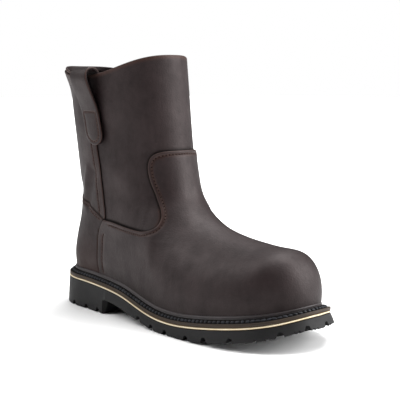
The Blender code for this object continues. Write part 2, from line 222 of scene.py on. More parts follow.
skin_u = np.arange(SKIN_COLUMNS) / SKIN_COLUMNS
skin_v = np.linspace(0, 1, SKIN_ROWS)
skin_share = (1 - np.cos(2 * math.pi * skin_u)) / 2
half_columns = SKIN_COLUMNS // 2
outer_half = surface(skin_share[None, :half_columns + 1], skin_v[:, None], -1)
inner_half = surface(skin_share[None, half_columns + 1:], skin_v[:, None], 1)
last_form = np.concatenate([outer_half, inner_half], axis=1)
fold_height = np.zeros(last_form.shape[:2])
for fold_side, fold_start, fold_end, fold_width, fold_rise in CREASES:
    fold_run = np.subtract(fold_end, fold_start)
    from_start = last_form[:, :, [0, 2]] - np.array(fold_start)
    along_fold = np.clip(from_start @ fold_run / (fold_run @ fold_run), 0, 1)
    off_fold = np.linalg.norm(from_start - along_fold[:, :, None] * fold_run, axis=2)
    on_side = last_form[:, :, 1] * fold_side >= 0
    fold_height += on_side * fold_rise * np.exp(-(off_fold / fold_width) ** 2)
skin = last_form + fold_height[:, :, None] * skin_normals(last_form)
skin_normal = skin_normals(skin)
skin_round = (np.roll(skin, -1, axis=1) - np.roll(skin, 1, axis=1)) * SKIN_COLUMNS / 2
skin_up = np.gradient(skin, axis=0) * (SKIN_ROWS - 1)


def read_skin(table, u, v):
    """Value of a skin table at u round the boot from the back by the outer side, and v up the boot."""
    column = np.asarray(u, float) % 1 * SKIN_COLUMNS
    row = np.clip(np.asarray(v, float), 0, 1) * (SKIN_ROWS - 1)
    c = np.floor(column).astype(int)
    r = np.minimum(np.floor(row).astype(int), SKIN_ROWS - 2)
    across = (column - c)[..., None]
    up = (row - r)[..., None]
    c, after = c % SKIN_COLUMNS, (c + 1) % SKIN_COLUMNS
    low = table[r, c] * (1 - across) + table[r, after] * across
    high = table[r + 1, c] * (1 - across) + table[r + 1, after] * across
    return low * (1 - up) + high * up


def on_skin(u, v, lift):
    """Points on the upper, lifted off the skin along its normal."""
    return read_skin(skin, u, v) + np.asarray(lift, float)[..., None] * read_skin(skin_normal, u, v)


def grid_faces(rows, count):
    """Quads between neighbouring closed loops."""
    faces = []
    for r in range(rows - 1):
        for i in range(count):
            after = (i + 1) % count
            faces.append((r * count + i, r * count + after, (r + 1) * count + after, (r + 1) * count + i))
    return faces


def add_piece(name, points, faces, materials, node=None, smooth_angle=40):
    """One visible piece, from points in millimetres, that rides on the boot and stands for a node."""
    mesh = bpy.data.meshes.new(name)
    mesh.from_pydata(((np.asarray(points) + (HEEL_X, 0, 0)) * MM).tolist(), [], faces)
    for entry in materials:
        mesh.materials.append(entry)
    mesh.shade_smooth()
    mesh.set_sharp_from_angle(angle=math.radians(smooth_angle))
    piece = bpy.data.objects.new(name, mesh)
    bpy.context.scene.collection.objects.link(piece)
    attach(piece, "root")
    if node:
        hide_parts(node)
    return piece


def colour(code):
    """Linear colour of an sRGB hex value."""
    parts = [int(code[i:i + 2], 16) / 255 for i in (1, 3, 5)]
    return [p / 12.92 if p <= 0.04045 else ((p + 0.055) / 1.055) ** 2.4 for p in parts] + [1.0]


def new_material(name):
    made = bpy.data.materials.new(name)
    made.use_nodes = True
    return made, made.node_tree.nodes["Principled BSDF"]


def set_node(owner, node, settings, links):
    """Settings go to a node's properties or sockets, and links bring (node, output) into its sockets."""
    for name, value in settings.items():
        if isinstance(name, str) and hasattr(node, name):
            setattr(node, name, value)
        else:
            node.inputs[name].default_value = value
    for name, (source, output) in links.items():
        owner.node_tree.links.new(source.outputs[output], node.inputs[name])
    return node


def add_node(owner, kind, settings, links):
    return set_node(owner, owner.node_tree.nodes.new("ShaderNode" + kind), settings, links)


# Suede lining: split leather buffed to a short nap, so it is matt with soft cloudy strokes.
NAP_CLOUD = 14.0         # size of the brushed clouds
NAP_FIBRE = 1.4          # the nap itself is finer than the render shows, so it is drawn at this size
NAP_HEIGHT = 0.25
lining_suede, shader = new_material("lining_suede")
place = add_node(lining_suede, "TexCoord", {}, {})
cloud = add_node(lining_suede, "TexNoise", {"Scale": 1 / (NAP_CLOUD * MM), "Detail": 4.0},
                 {"Vector": (place, "Object")})
fibre = add_node(lining_suede, "TexNoise", {"Scale": 1 / (NAP_FIBRE * MM), "Detail": 3.0},
                 {"Vector": (place, "Object")})
tint = add_node(lining_suede, "MapRange", {"From Min": 0.35, "From Max": 0.68}, {"Value": (cloud, "Fac")})
mixed = add_node(lining_suede, "Mix", {"data_type": "RGBA", 6: colour("#473129"), 7: colour("#674a40")},
                 {0: (tint, "Result")})
fuzz = add_node(lining_suede, "Bump", {"Strength": 0.5, "Distance": NAP_HEIGHT * MM},
                {"Height": (fibre, "Fac")})
set_node(lining_suede, shader, {"Roughness": 0.85, "Sheen Weight": 0.25},
         {"Base Color": (mixed, 2), "Normal": (fuzz, "Normal")})

LINING_COLUMNS = 200
LINING_ROWS = 90
LINING_SPAN = (0.985, 0.012)    # shares of the height, from under the collar to above the sole
lining_u = np.arange(LINING_COLUMNS) / LINING_COLUMNS
lining_rows = [on_skin(lining_u, v, -WALL) for v in np.linspace(*LINING_SPAN, LINING_ROWS)]
add_piece("shaft_lining", np.concatenate(lining_rows), grid_faces(LINING_ROWS, LINING_COLUMNS),
          [lining_suede])

# Shaft. The front of the upper: one sheet of oiled full-grain cowhide about 2 mm thick, wrapped round the
# last and turned in over the collar, where its edge is rounded. The other panels are sewn on over it.
SHAFT_LIFT = -0.8        # the sheet lies a little inside the sewn-on panels
SHAFT_COLUMNS = 360
SHAFT_ROWS = 180
RIM_STEPS = 10
RIM_SPARE = 0.1          # added to the rim's radius, so that it covers the lining's edge
COLLAR_TURN = 3.2        # how far the turned edge reaches down inside
TURN_STEPS = 4

# Oiled full-grain leather: dyed reddish dark brown and dressed with wax. Oil and wax lie in clouds and in
# streaks up the boot, and pores and stretch lines break the gloss. Cut edges are dyed nearly black with a
# rubbed brown rim.
# Painted shade darkens the gaps at the edges, the stitch grooves, the leather beside sewn-over edges and the
# leather towards the welt, and takes the shine out there.
LEATHER_CLOUD = 34.0     # patches where oil and wax have moved
LEATHER_MOTTLE = 8.0
LEATHER_STREAK = 7.0     # width of the streaks
STREAK_STRETCH = 0.2     # and that as a share of their length
MOTTLE_SHARE = 0.3       # strength of mottle and streaks beside the clouds
OIL_SPAN = (0.6, 1.0)    # sum of all three, from the darkest leather to the palest
SHINE_SPAN = (0.55, 1.05)                 # and from the least wax to the most
LEATHER_GRAIN = 1.5      # pores are about 0.4 mm; drawn at this size to show
LEATHER_LINE = 5.0       # fine stretch lines between the pores
GRAIN_HEIGHT = 0.2
LEATHER_DARK = "#110809"
LEATHER_PALE = "#1b1011"
LEATHER_RIM = "#301c16"
# Nearly black: the dye of cut edges, and the colour of all painted shade on the leather
LEATHER_DYE_AND_SHADE = "#080504"
LEATHER_SHEEN = (1.0, 0.89, 0.88, 1.0)    # wax over the red dye warms what it reflects
LEATHER_SHINE = (0.285, 0.41)             # specular level where there is little and much wax
GLOSS_SPREAD = 0.04      # roughness differs by this to either side
SHINE_IN_DYE_AND_SHADE = 0.15         # share of the shine that is left where dye and painted shade are darkest
RIM_WEAR = 0.5           # edge wear at which the leather is rubbed brown
GAP_DYE_AND_SHADE = 0.9           # and at which it is nearly black: dark edge dye with painted shade in the gap


def oiled_leather(name, gloss, wax=1.0):
    made, shader = new_material(name)
    place = add_node(made, "TexCoord", {}, {})
    tall = add_node(made, "Mapping", {"Scale": (1.0, 1.0, STREAK_STRETCH)}, {"Vector": (place, "Object")})
    cloud, mottle, streak, lines = (
        add_node(made, "TexNoise", {"Scale": 1 / (size * MM), "Detail": detail, "Roughness": broken},
                 {"Vector": source})
        for size, detail, broken, source in (
            (LEATHER_CLOUD, 5.0, 0.6, (place, "Object")),
            (LEATHER_MOTTLE, 6.0, 0.65, (place, "Object")),
            (LEATHER_STREAK, 4.0, 0.6, (tall, "Vector")),
            (LEATHER_LINE, 8.0, 0.7, (place, "Object")),
        ))
    small = add_node(made, "Math", {"operation": "ADD"}, {0: (mottle, "Fac"), 1: (streak, "Fac")})
    oil = add_node(made, "Math", {"operation": "MULTIPLY_ADD", 1: MOTTLE_SHARE},
                   {0: (small, "Value"), 2: (cloud, "Fac")})
    tint = add_node(made, "MapRange", {"From Min": OIL_SPAN[0], "From Max": OIL_SPAN[1]},
                    {"Value": (oil, "Value")})
    body = add_node(made, "Mix", {"data_type": "RGBA", 6: colour(LEATHER_DARK), 7: colour(LEATHER_PALE)},
                    {0: (tint, "Result")})
    edge = add_node(made, "Attribute", {"attribute_name": "edge"}, {})
    rim = add_node(made, "MapRange", {"From Max": RIM_WEAR}, {"Value": (edge, "Fac")})
    rubbed = add_node(made, "Mix", {"data_type": "RGBA", 7: colour(LEATHER_RIM)},
                      {0: (rim, "Result"), 6: (body, 2)})
    # Edge wear past the rubbed rim goes nearly black: dark edge dye with painted shade in gaps and stitch
    # grooves. The shade attribute is painted shade along sewn-over edges and towards the welt.
    gap = add_node(made, "MapRange", {"From Min": RIM_WEAR, "From Max": GAP_DYE_AND_SHADE}, {"Value": (edge, "Fac")})
    shade = add_node(made, "Attribute", {"attribute_name": "shade"}, {})
    dark = add_node(made, "Math", {"operation": "MAXIMUM"}, {0: (gap, "Result"), 1: (shade, "Fac")})
    full = add_node(made, "Mix", {"data_type": "RGBA", 7: colour(LEATHER_DYE_AND_SHADE)},
                    {0: (dark, "Value"), 6: (rubbed, 2)})
    pores = add_node(made, "TexVoronoi", {"Scale": 1 / (LEATHER_GRAIN * MM), "feature": "SMOOTH_F1",
                                          "Smoothness": 0.6}, {"Vector": (place, "Object")})
    relief = add_node(made, "Math", {"operation": "ADD"}, {0: (lines, "Fac"), 1: (pores, "Distance")})
    grain = add_node(made, "Bump", {"Strength": 0.5, "Distance": GRAIN_HEIGHT * MM},
                     {"Height": (relief, "Value")})
    rough = add_node(made, "MapRange", {"From Min": OIL_SPAN[0], "From Max": OIL_SPAN[1],
                                        "To Min": gloss + GLOSS_SPREAD, "To Max": gloss - GLOSS_SPREAD},
                     {"Value": (oil, "Value")})
    shine = add_node(made, "MapRange", {"From Min": SHINE_SPAN[0], "From Max": SHINE_SPAN[1],
                                        "To Min": LEATHER_SHINE[0] * wax, "To Max": LEATHER_SHINE[1] * wax},
                     {"Value": (oil, "Value")})
    # Painted shade and dark dye also take the shine out
    shine_under_shade = add_node(made, "MapRange", {"To Min": 1.0, "To Max": SHINE_IN_DYE_AND_SHADE}, {"Value": (dark, "Value")})
    level = add_node(made, "Math", {"operation": "MULTIPLY"}, {0: (shine, "Result"), 1: (shine_under_shade, "Result")})
    set_node(made, shader, {"IOR": 1.48, "Specular Tint": LEATHER_SHEEN},
             {"Base Color": (full, 2), "Roughness": (rough, "Result"), "Specular IOR Level": (level, "Value"),
              "Normal": (grain, "Normal")})
    return made


shaft_leather = oiled_leather("oiled_leather_shaft", 0.62)
shaft_u = np.arange(SHAFT_COLUMNS) / SHAFT_COLUMNS
shaft_rows = [on_skin(shaft_u, v, SHAFT_LIFT) for v in np.linspace(0, 1, SHAFT_ROWS)]
rim_up = unit(read_skin(skin_up, shaft_u, 1.0))
rim_radius = (WALL + SHAFT_LIFT) / 2 + RIM_SPARE
for angle in np.linspace(0, math.pi, RIM_STEPS + 1)[1:]:
    rim_lift = SHAFT_LIFT - rim_radius * (1 - math.cos(angle))
    shaft_rows.append(on_skin(shaft_u, 1.0, rim_lift) + rim_radius * math.sin(angle) * rim_up)
for turned_row in range(TURN_STEPS):
    shaft_rows.append(shaft_rows[-1] - COLLAR_TURN / TURN_STEPS * rim_up)
shaft = add_piece("shaft", np.concatenate(shaft_rows), grid_faces(len(shaft_rows), SHAFT_COLUMNS),
                  [shaft_leather], "upper")

# Back panel. A second sheet of the same leather round the back of the shaft, from the heel counter to the
# collar. Its front edges lie over the shaft and are sewn down with one row set well back from the edge.
BACK_LIFT = 0.5
BACK_EDGE = ((83, 93), (82.8, 110), (82, 126), (81, 142), (78.5, 157), (75.5, 175), (71, 200), (65.5, 234))
BACK_TOP = 0.997         # share of the height where the panel ends, under the turned collar
BACK_TOP_POINTS = 80
BACK_STITCH = 8.5
BACK_ROW = slice(3, -6)  # part of the edge, in steps along it, that has stitches beside it
COUNTER_SEAM = ((81.5, 92.2), (72.9, 96.9), (65.3, 100.8), (57.3, 104.5), (49.8, 108), (41.1, 110.8),
                (31, 112.6), (20.85, 113))
ONCE_ROUND = (1, 0)      # taken off places on the inner side, so that a line can run on past the back
TUCK = 5.0               # how far a panel runs on under the one sewn over it
PANEL_BASE = -1.2        # panel edges run down to here, just inside the shaft
OUTLINE_STEP = 1.3       # spacing of the points round a panel
CORNER = 2.0             # corners of a panel are rounded to about this
LATTICE = (250, 130)     # spacing of the points inside a panel: steps round the boot and up it
LATTICE_CLEAR = 0.6      # and how far they stay from its edge and grooves, in those steps
SAME_POINT = 1e-6        # points nearer than this are joined when a panel is filled
# Cut edge of a panel: distance in from the edge, height below the panel's face, and how worn it is; its
# darkest values are dark edge dye with painted shade in the gap.
EDGE_SHAPE = ((-0.6, -3.0, 1.0), (-0.1, -0.95, 1.0), (0.2, -0.4, 0.8), (0.6, -0.06, 0.3), (1.2, 0.14, 0.1),
              (1.8, 0.12, 0.08))
# Line that stitches sink into: distance beside it, height and wear, which here is painted shade, darkest in
# the middle.
GROOVE_SHAPE = ((-1.0, 0.0, 0.2), (-0.5, -0.28, 0.8), (0.0, -0.42, 1.0), (0.5, -0.28, 0.8), (1.0, 0.0, 0.2))
HEM_WEAR = 0.1           # the strip between the edge and its stitches is rubbed a little browner
HEM_FADE = 1.5
MARK_STEPS = 4           # points that mark a line, to each of its own steps
MARK_CORE = 0.6          # a mark has its full level this far from its line
SEAM_SHADE = 0.85        # painted shadow darkens the leather along an edge that is sewn over it
SEAM_REACH = 2.6
BACK_SHADE = 0.35        # painted shadow, less along the thin edge of the back panel
RIM_RUB = 0.5            # the turned edge of the collar is rubbed brown
RIM_REACH = 2.4


def find(x, z, side):
    """Place on the skin, round and up, of a point of the side view."""
    columns = np.arange(0, half_columns + 1) if side < 0 else np.arange(half_columns, SKIN_COLUMNS + 1)
    view = last_form[:, columns % SKIN_COLUMNS][:, :, [0, 2]]
    away = np.linalg.norm(view - (x, z), axis=2)
    r, c = np.unravel_index(np.argmin(away), away.shape)
    r = min(max(r, 1), SKIN_ROWS - 2)
    c = min(max(c, 1), len(columns) - 2)
    slope = np.stack([(view[r, c + 1] - view[r, c - 1]) / 2, (view[r + 1, c] - view[r - 1, c]) / 2], axis=1)
    step = np.linalg.solve(slope, (x, z) - view[r, c])
    return (columns[c] + step[0]) / SKIN_COLUMNS, (r + step[1]) / (SKIN_ROWS - 1)


def run_length(points):
    """Length of a line from its start to each of its points."""
    return np.concatenate([[0], np.cumsum(np.linalg.norm(np.diff(points, axis=0), axis=1))])


def line_on_skin(points, side):
    """Smooth line through points of the side view, as places on the skin about OUTLINE_STEP apart."""
    knots = np.array([find(x, z, side) for x, z in points])
    length = run_length(read_skin(skin, *knots.T))
    return spline(length, knots, np.linspace(0, length[-1], max(3, int(length[-1] / OUTLINE_STEP))))


def level_line(start, end, v, count):
    """Places on the skin at one height, from one u to another."""
    return np.stack([np.linspace(start, end, count), np.full(count, v)], axis=1)


def even_outline(places):
    """Closed outline with even spacing and softened corners."""
    closed = np.concatenate([places, places[:1]])
    length = run_length(read_skin(skin, *closed.T))
    at = np.linspace(0, length[-1], int(length[-1] / OUTLINE_STEP), endpoint=False)
    even = np.stack([np.interp(at, length, part) for part in closed.T], axis=1)
    for turn in range(int(CORNER / OUTLINE_STEP) + 1):
        even = (np.roll(even, 1, axis=0) + 2 * even + np.roll(even, -1, axis=0)) / 4
    return even


def move_aside(line, distance, closed=False):
    """Places moved to the left of a line seen from outside, by a distance over the leather."""
    points = read_skin(skin, *line.T)
    if closed:
        along = np.roll(points, -1, axis=0) - np.roll(points, 1, axis=0)
    else:
        along = np.gradient(points, axis=0)
    aside = np.cross(read_skin(skin_normal, *line.T), along)
    aside *= (distance / np.linalg.norm(aside, axis=1))[:, None]
    across = read_skin(skin_round, *line.T)
    up = read_skin(skin_up, *line.T)
    aa, au, uu = (across * across).sum(1), (across * up).sum(1), (up * up).sum(1)
    ad, ud = (across * aside).sum(1), (up * aside).sum(1)
    spread = aa * uu - au * au
    return line + np.stack([(uu * ad - au * ud) / spread, (aa * ud - au * ad) / spread], axis=1)


def inside(outline, points):
    """Which points lie in a closed outline."""
    hit = np.zeros(len(points), bool)
    for a, b in zip(outline, np.roll(outline, -1, axis=0)):
        if a[1] != b[1]:
            crossing = (a[1] > points[:, 1]) != (b[1] > points[:, 1])
            hit ^= crossing & (points[:, 0] < (b[0] - a[0]) * (points[:, 1] - a[1]) / (b[1] - a[1]) + a[0])
    return hit


def away_from(spots, points):
    """Distance of each point from the nearest spot."""
    tree = KDTree(len(spots))
    for number, spot in enumerate(spots.tolist()):
        tree.insert(spot, number)
    tree.balance()
    return np.array([tree.find(point)[2] for point in points.tolist()])


def raise_mark_level(piece, kind, values):
    """Bring the edge wear or painted shade of each point of a piece up to a value, for its leather to read.
    """
    layer = piece.data.attributes.get(kind) or piece.data.attributes.new(kind, "FLOAT", "POINT")
    before = np.empty(len(values), np.float32)
    layer.data.foreach_get("value", before)
    layer.data.foreach_set("value", np.maximum(before, values).astype(np.float32))


def mark(piece, kind, line, level, reach):
    """Wear or painted shade along a line on the leather, fading out over a reach."""
    along = np.arange(0, len(line) - 1, 1 / MARK_STEPS)
    dense = [np.interp(along, np.arange(len(line)), part) for part in line.T]
    points = np.empty(len(piece.data.vertices) * 3)
    piece.data.vertices.foreach_get("co", points)
    away = away_from(on_skin(*dense, 0), points.reshape(-1, 3) / MM - (HEEL_X, 0, 0))
    raise_mark_level(piece, kind, level * (1 - smooth(away, MARK_CORE, reach)))


def add_panel(name, places, lift, grooves, hem, material):
    """Leather panel with a rounded cut edge, a hem of some width, and grooves that its stitches sink into."""
    outline = even_outline(places)
    count = len(outline)
    loops, edge = [], []
    for inset, drop, worn in EDGE_SHAPE:
        loop = move_aside(outline, inset, closed=True)
        loops.append(on_skin(*loop.T, max(lift + drop, PANEL_BASE)))
        edge.append(np.full(count, worn))
    faces = grid_faces(len(loops), count)
    spots, drops, worns = [loop], [np.zeros(count)], [np.zeros(count)]
    bounds = [(i, (i + 1) % count) for i in range(count)]
    for groove in grooves:
        for beside, drop, worn in GROOVE_SHAPE:
            row = move_aside(groove, beside)
            first = sum(len(s) for s in spots)
            bounds += [(first + i, first + i + 1) for i in range(len(row) - 1)]
            spots.append(row)
            drops.append(np.full(len(row), drop))
            worns.append(np.full(len(row), worn))
    low, high = np.floor(outline.min(axis=0) * LATTICE), np.ceil(outline.max(axis=0) * LATTICE)
    columns, rows = (np.arange(low[k], high[k] + 1) / LATTICE[k] for k in (0, 1))
    lattice = np.stack(np.meshgrid(columns, rows), axis=-1).reshape(-1, 2)
    lattice = lattice[inside(loop, lattice)]
    near = np.full(len(lattice), FAR)
    for spot in np.concatenate(spots):
        near = np.minimum(near, np.abs((lattice - spot) * LATTICE).max(axis=1))
    lattice = lattice[near > LATTICE_CLEAR]
    spots.append(lattice)
    drops.append(np.zeros(len(lattice)))
    from_edge = away_from(loops[0], read_skin(skin, *lattice.T))
    worns.append(HEM_WEAR * (1 - smooth(from_edge, hem, hem + HEM_FADE)))
    drops, worns = np.concatenate(drops), np.concatenate(worns)
    flat = [Vector(p) for p in (np.concatenate(spots) * LATTICE).tolist()]
    made, _, triangles, source, _, _ = delaunay_2d_cdt(flat, bounds, [], 1, SAME_POINT)
    made = np.array([tuple(p) for p in made]) / LATTICE
    drop = np.array([drops[s[0]] if s else drops.min() for s in source])
    loops.append(on_skin(*made.T, lift + drop))
    edge.append(np.array([worns[s[0]] if s else 0 for s in source]))
    ring = (len(EDGE_SHAPE) - 1) * count
    filled = len(EDGE_SHAPE) * count
    index = [ring + s[0] if s and s[0] < count else filled + i for i, s in enumerate(source)]
    faces += [[index[i] for i in triangle] for triangle in triangles]
    piece = add_piece(name, np.concatenate(loops), faces, [material], smooth_angle=70)
    raise_mark_level(piece, "edge", np.concatenate(edge))
    shape = bmesh.new()
    shape.from_mesh(piece.data)
    loose = [v for v in shape.verts if not v.link_faces]
    bmesh.ops.delete(shape, geom=loose, context="VERTS")
    shape.to_mesh(piece.data)
    shape.free()
    return piece


back_leather = oiled_leather("oiled_leather_back", 0.62)
outer_edge = line_on_skin(BACK_EDGE, -1)
inner_edge = line_on_skin(BACK_EDGE, 1) - ONCE_ROUND
outer_seam = line_on_skin(COUNTER_SEAM, -1)
inner_seam = line_on_skin(COUNTER_SEAM, 1) - ONCE_ROUND
counter_seam = np.concatenate([outer_seam, inner_seam[::-1][1:]])
back_outline = np.concatenate([
    move_aside(counter_seam, TUCK)[::-1], outer_edge[1:-1],
    level_line(outer_edge[-1, 0], inner_edge[-1, 0], BACK_TOP, BACK_TOP_POINTS), inner_edge[::-1][1:-1],
])
back_rows = [move_aside(outer_edge, BACK_STITCH)[BACK_ROW], move_aside(inner_edge, -BACK_STITCH)[BACK_ROW]]
back_panel = add_panel("back_panel", back_outline, BACK_LIFT, back_rows, BACK_STITCH, back_leather)
# Painted shadow on the shaft beside the back panel's edges
for seam in (outer_edge, inner_edge):
    mark(shaft, "shade", seam, BACK_SHADE, SEAM_REACH)
mark(shaft, "edge", level_line(0, 1, 1, SHAFT_COLUMNS), RIM_RUB, RIM_REACH)

# Heel counter. A moulded leather cap round the heel, sewn to the back panel along its upper edge. A stiffener
# behind it keeps it firm, so it has no folds.
COUNTER_LIFT = 1.0
COUNTER_STITCH = 3.4
COUNTER_ROW = slice(5, -5)
COUNTER_FOOT_POINTS = 90
LOW_EDGE = ((80, 91), (74, 82), (71, 70), (69.5, 56), (69.5, 42), (70.5, 29))
PRESSED = 0.7            # the vamp's edge presses a line into the counter, this far behind it
PRESSED_ROW = slice(0, -6)
HEEL_RUB = 0.22          # the heel is scuffed dull and brown, most of all low down
HEEL_REACH = 60.0
counter_leather = oiled_leather("oiled_leather_counter", 0.62, wax=0.72)
tucked_edge = [(x + TUCK, z) for x, z in LOW_EDGE[1:]]
outer_low = line_on_skin(tucked_edge, -1)
inner_low = line_on_skin(tucked_edge, 1) - ONCE_ROUND
counter_foot = level_line(inner_low[-1, 0], outer_low[-1, 0], 0, COUNTER_FOOT_POINTS)
counter_outline = np.concatenate([counter_foot, outer_low[::-1][1:], outer_seam, inner_seam[::-1][1:],
                                  inner_low[:-1]])
counter_rows = [move_aside(counter_seam, COUNTER_STITCH)[COUNTER_ROW]]
pressed = [move_aside(line_on_skin(LOW_EDGE[1:], -1), -PRESSED)[PRESSED_ROW],
           move_aside(line_on_skin(LOW_EDGE[1:], 1) - ONCE_ROUND, PRESSED)[PRESSED_ROW]]
counter = add_panel("heel_counter", counter_outline, COUNTER_LIFT, counter_rows + pressed, COUNTER_STITCH,
                    counter_leather)
# Painted shadow on the back panel beside the counter's edge
mark(back_panel, "shade", counter_seam, SEAM_SHADE, SEAM_REACH)
mark(counter, "edge", counter_foot, HEEL_RUB, HEEL_REACH)

# Vamp. The front of the foot in one moulded piece: over the toe and the instep and up into a round-topped
# tongue on the shaft. It is sewn over the shaft and the counter with one row along its edge.
VAMP_LIFT = 1.7
VAMP_STITCH = 3.8
VAMP_BACK_STITCH = 8.0   # the row down the side seam is set further in
VAMP_ROW = slice(8, -8)
VAMP_FOOT_POINTS = 300
VAMP_SEAM = ((82, 92.4), (91.5, 91.8), (101, 90.9), (109, 89.8), (118, 88.8), (126, 88.2), (134, 87.8),
             (141, 87.7), (146.4, 88), (150.2, 88.7), (153.1, 89.9), (155.3, 91.6), (156.4, 93.8),
             (156.8, 96.8), (156.5, 100), (154.9, 104.3), (151.8, 109.3), (148.1, 114.9), (143.9, 122.7),
             (140.7, 129), (137.9, 136.3), (136.2, 143.7), (135.9, 149.5), (137.6, 155.6), (141.6, 159.4),
             (146.3, 161), (151.4, 161.6))
VAMP_SHADE_REACH = 3.2   # its thick edge casts a wider painted shadow than the others
FOOT_SHADE = 0.32        # painted shade: the leather is darker towards the welt
FOOT_REACH = 42.0
NECK = ((156.4, 94), (156.8, 97), (156.5, 100), (154.9, 104.3), (152.4, 108.4))
NECK_RUB = 0.5           # the leather is bunched and rubbed brown at the neck of the tongue
NECK_REACH = 5.0
vamp_leather = oiled_leather("oiled_leather_vamp", 0.57)
outer_top = line_on_skin(VAMP_SEAM, -1)
inner_top = line_on_skin(VAMP_SEAM, 1)
outer_back = line_on_skin(LOW_EDGE, -1)
inner_back = line_on_skin(LOW_EDGE, 1)
vamp_foot = level_line(outer_back[-1, 0], inner_back[-1, 0], 0, VAMP_FOOT_POINTS)
vamp_seam = np.concatenate([inner_top[:-1], outer_top[::-1]])
vamp_outline = np.concatenate([vamp_foot, inner_back[::-1][1:], vamp_seam, outer_back[:-1]])
vamp_rows = [move_aside(vamp_seam, VAMP_STITCH)[VAMP_ROW], move_aside(outer_back, VAMP_BACK_STITCH)[VAMP_ROW],
             move_aside(inner_back, -VAMP_BACK_STITCH)[VAMP_ROW]]
vamp = add_panel("vamp", vamp_outline, VAMP_LIFT, vamp_rows, VAMP_STITCH, vamp_leather)
# Painted shade on the vamp, darker towards the welt
mark(vamp, "shade", vamp_foot, FOOT_SHADE, FOOT_REACH)
# Painted shadow beside the vamp's edge, on the shaft and the counter
mark(shaft, "shade", vamp_seam, SEAM_SHADE, VAMP_SHADE_REACH)
for seam in (outer_back, inner_back):
    mark(counter, "shade", seam, SEAM_SHADE, SEAM_REACH)
for side in (-1, 1):
    for piece in (shaft, vamp):
        mark(piece, "edge", line_on_skin(NECK, side), NECK_RUB, NECK_REACH)

# Seam stitches. Waxed polyester thread about 0.8 mm thick, dark brown like the leather, sewn in lockstitch so
# that each stitch is a short rounded bar pulled down into the groove of its panel.
SEAM_PITCH = 3.3
SEAM_STITCH = (2.6, 0.95, 0.8)    # length, width and height of a stitch
SEAM_SINK = 0.1          # the middle of a stitch lies this far under the panel's face
STITCH_SIDES = 8
STITCH_RINGS = 6
STITCH_ENDS = 0.6        # how blunt the ends of a stitch are: 1 is an ellipse, less is blunter
STITCH_SEED = 7

# Waxed thread: twisted strands with a dull shine; the twist is drawn at the real 1 mm.
THREAD_TWIST = 1.0
THREAD_SOIL = 12.0       # patches of dirt along a row
STRAND_HEIGHT = 0.1
WAVE_REPEAT = 0.314      # a wave pattern of scale 1 repeats after this length in metres


def waxed_thread(name, dark, pale):
    made, shader = new_material(name)
    place = add_node(made, "TexCoord", {}, {})
    twist = add_node(made, "TexWave", {"Scale": WAVE_REPEAT / (THREAD_TWIST * MM), "Distortion": 1.5,
                                       "bands_direction": "DIAGONAL"}, {"Vector": (place, "Object")})
    soil = add_node(made, "TexNoise", {"Scale": 1 / (THREAD_SOIL * MM), "Detail": 3.0},
                    {"Vector": (place, "Object")})
    body = add_node(made, "Mix", {"data_type": "RGBA", 6: colour(dark), 7: colour(pale)}, {0: (soil, "Fac")})
    strands = add_node(made, "Bump", {"Strength": 0.4, "Distance": STRAND_HEIGHT * MM},
                       {"Height": (twist, "Fac")})
    set_node(made, shader, {"Roughness": 0.55, "Specular IOR Level": 0.25},
             {"Base Color": (body, 2), "Normal": (strands, "Normal")})
    return made


def add_stitches(name, runs, pitch, size, material, uneven=0.06):
    """One stitch every pitch along each run of (points, normals), of uneven size and slant."""
    draw = np.random.default_rng(STITCH_SEED)
    shape = bmesh.new()
    bmesh.ops.create_uvsphere(shape, u_segments=STITCH_SIDES, v_segments=STITCH_RINGS, radius=0.5)
    bar = np.array([tuple(v.co) for v in shape.verts])[:, [2, 0, 1]]
    bar[:, 0] = np.sign(bar[:, 0]) * 0.5 * (2 * np.abs(bar[:, 0])) ** STITCH_ENDS
    bar_faces = [[v.index for v in face.verts] for face in shape.faces]
    shape.free()
    points, faces = [], []
    for line, normal in runs:
        length = run_length(line)
        tangent = np.gradient(line, axis=0)
        for at in np.arange(pitch / 2, length[-1], pitch):
            spot, ahead, up = (np.array([np.interp(at, length, part) for part in table.T])
                               for table in (line, tangent, normal))
            ahead = unit(ahead)
            aside = unit(np.cross(up, ahead))
            slant, longer, wider = draw.normal(0, uneven, 3)
            ahead, aside = ahead + slant * aside, aside - slant * ahead
            axes = np.array([ahead * size[0] * (1 + longer), aside * size[1] * (1 + wider),
                             np.cross(ahead, aside) * size[2]])
            faces += [[len(points) * len(bar) + i for i in face] for face in bar_faces]
            points.append(spot + bar @ axes)
    add_piece(name, np.concatenate(points), faces, [material], smooth_angle=180)


brown_thread = waxed_thread("waxed_thread_brown", "#1f110e", "#38231d")
seam_runs = [(on_skin(*row.T, lift - SEAM_SINK), read_skin(skin_normal, *row.T)) for rows, lift in
             ((back_rows, BACK_LIFT), (counter_rows, COUNTER_LIFT), (vamp_rows, VAMP_LIFT)) for row in rows]
add_stitches("seam_stitches", seam_runs, SEAM_PITCH, SEAM_STITCH, brown_thread)

# Pull straps. Two loops of doubled leather, one each side, sewn flat over the side seam with a round lower
# end and a row across, then standing off the shaft, folded over the collar and sewn down inside.
STRAP_WIDTH = 26.0
STRAP_THICK = 3.0
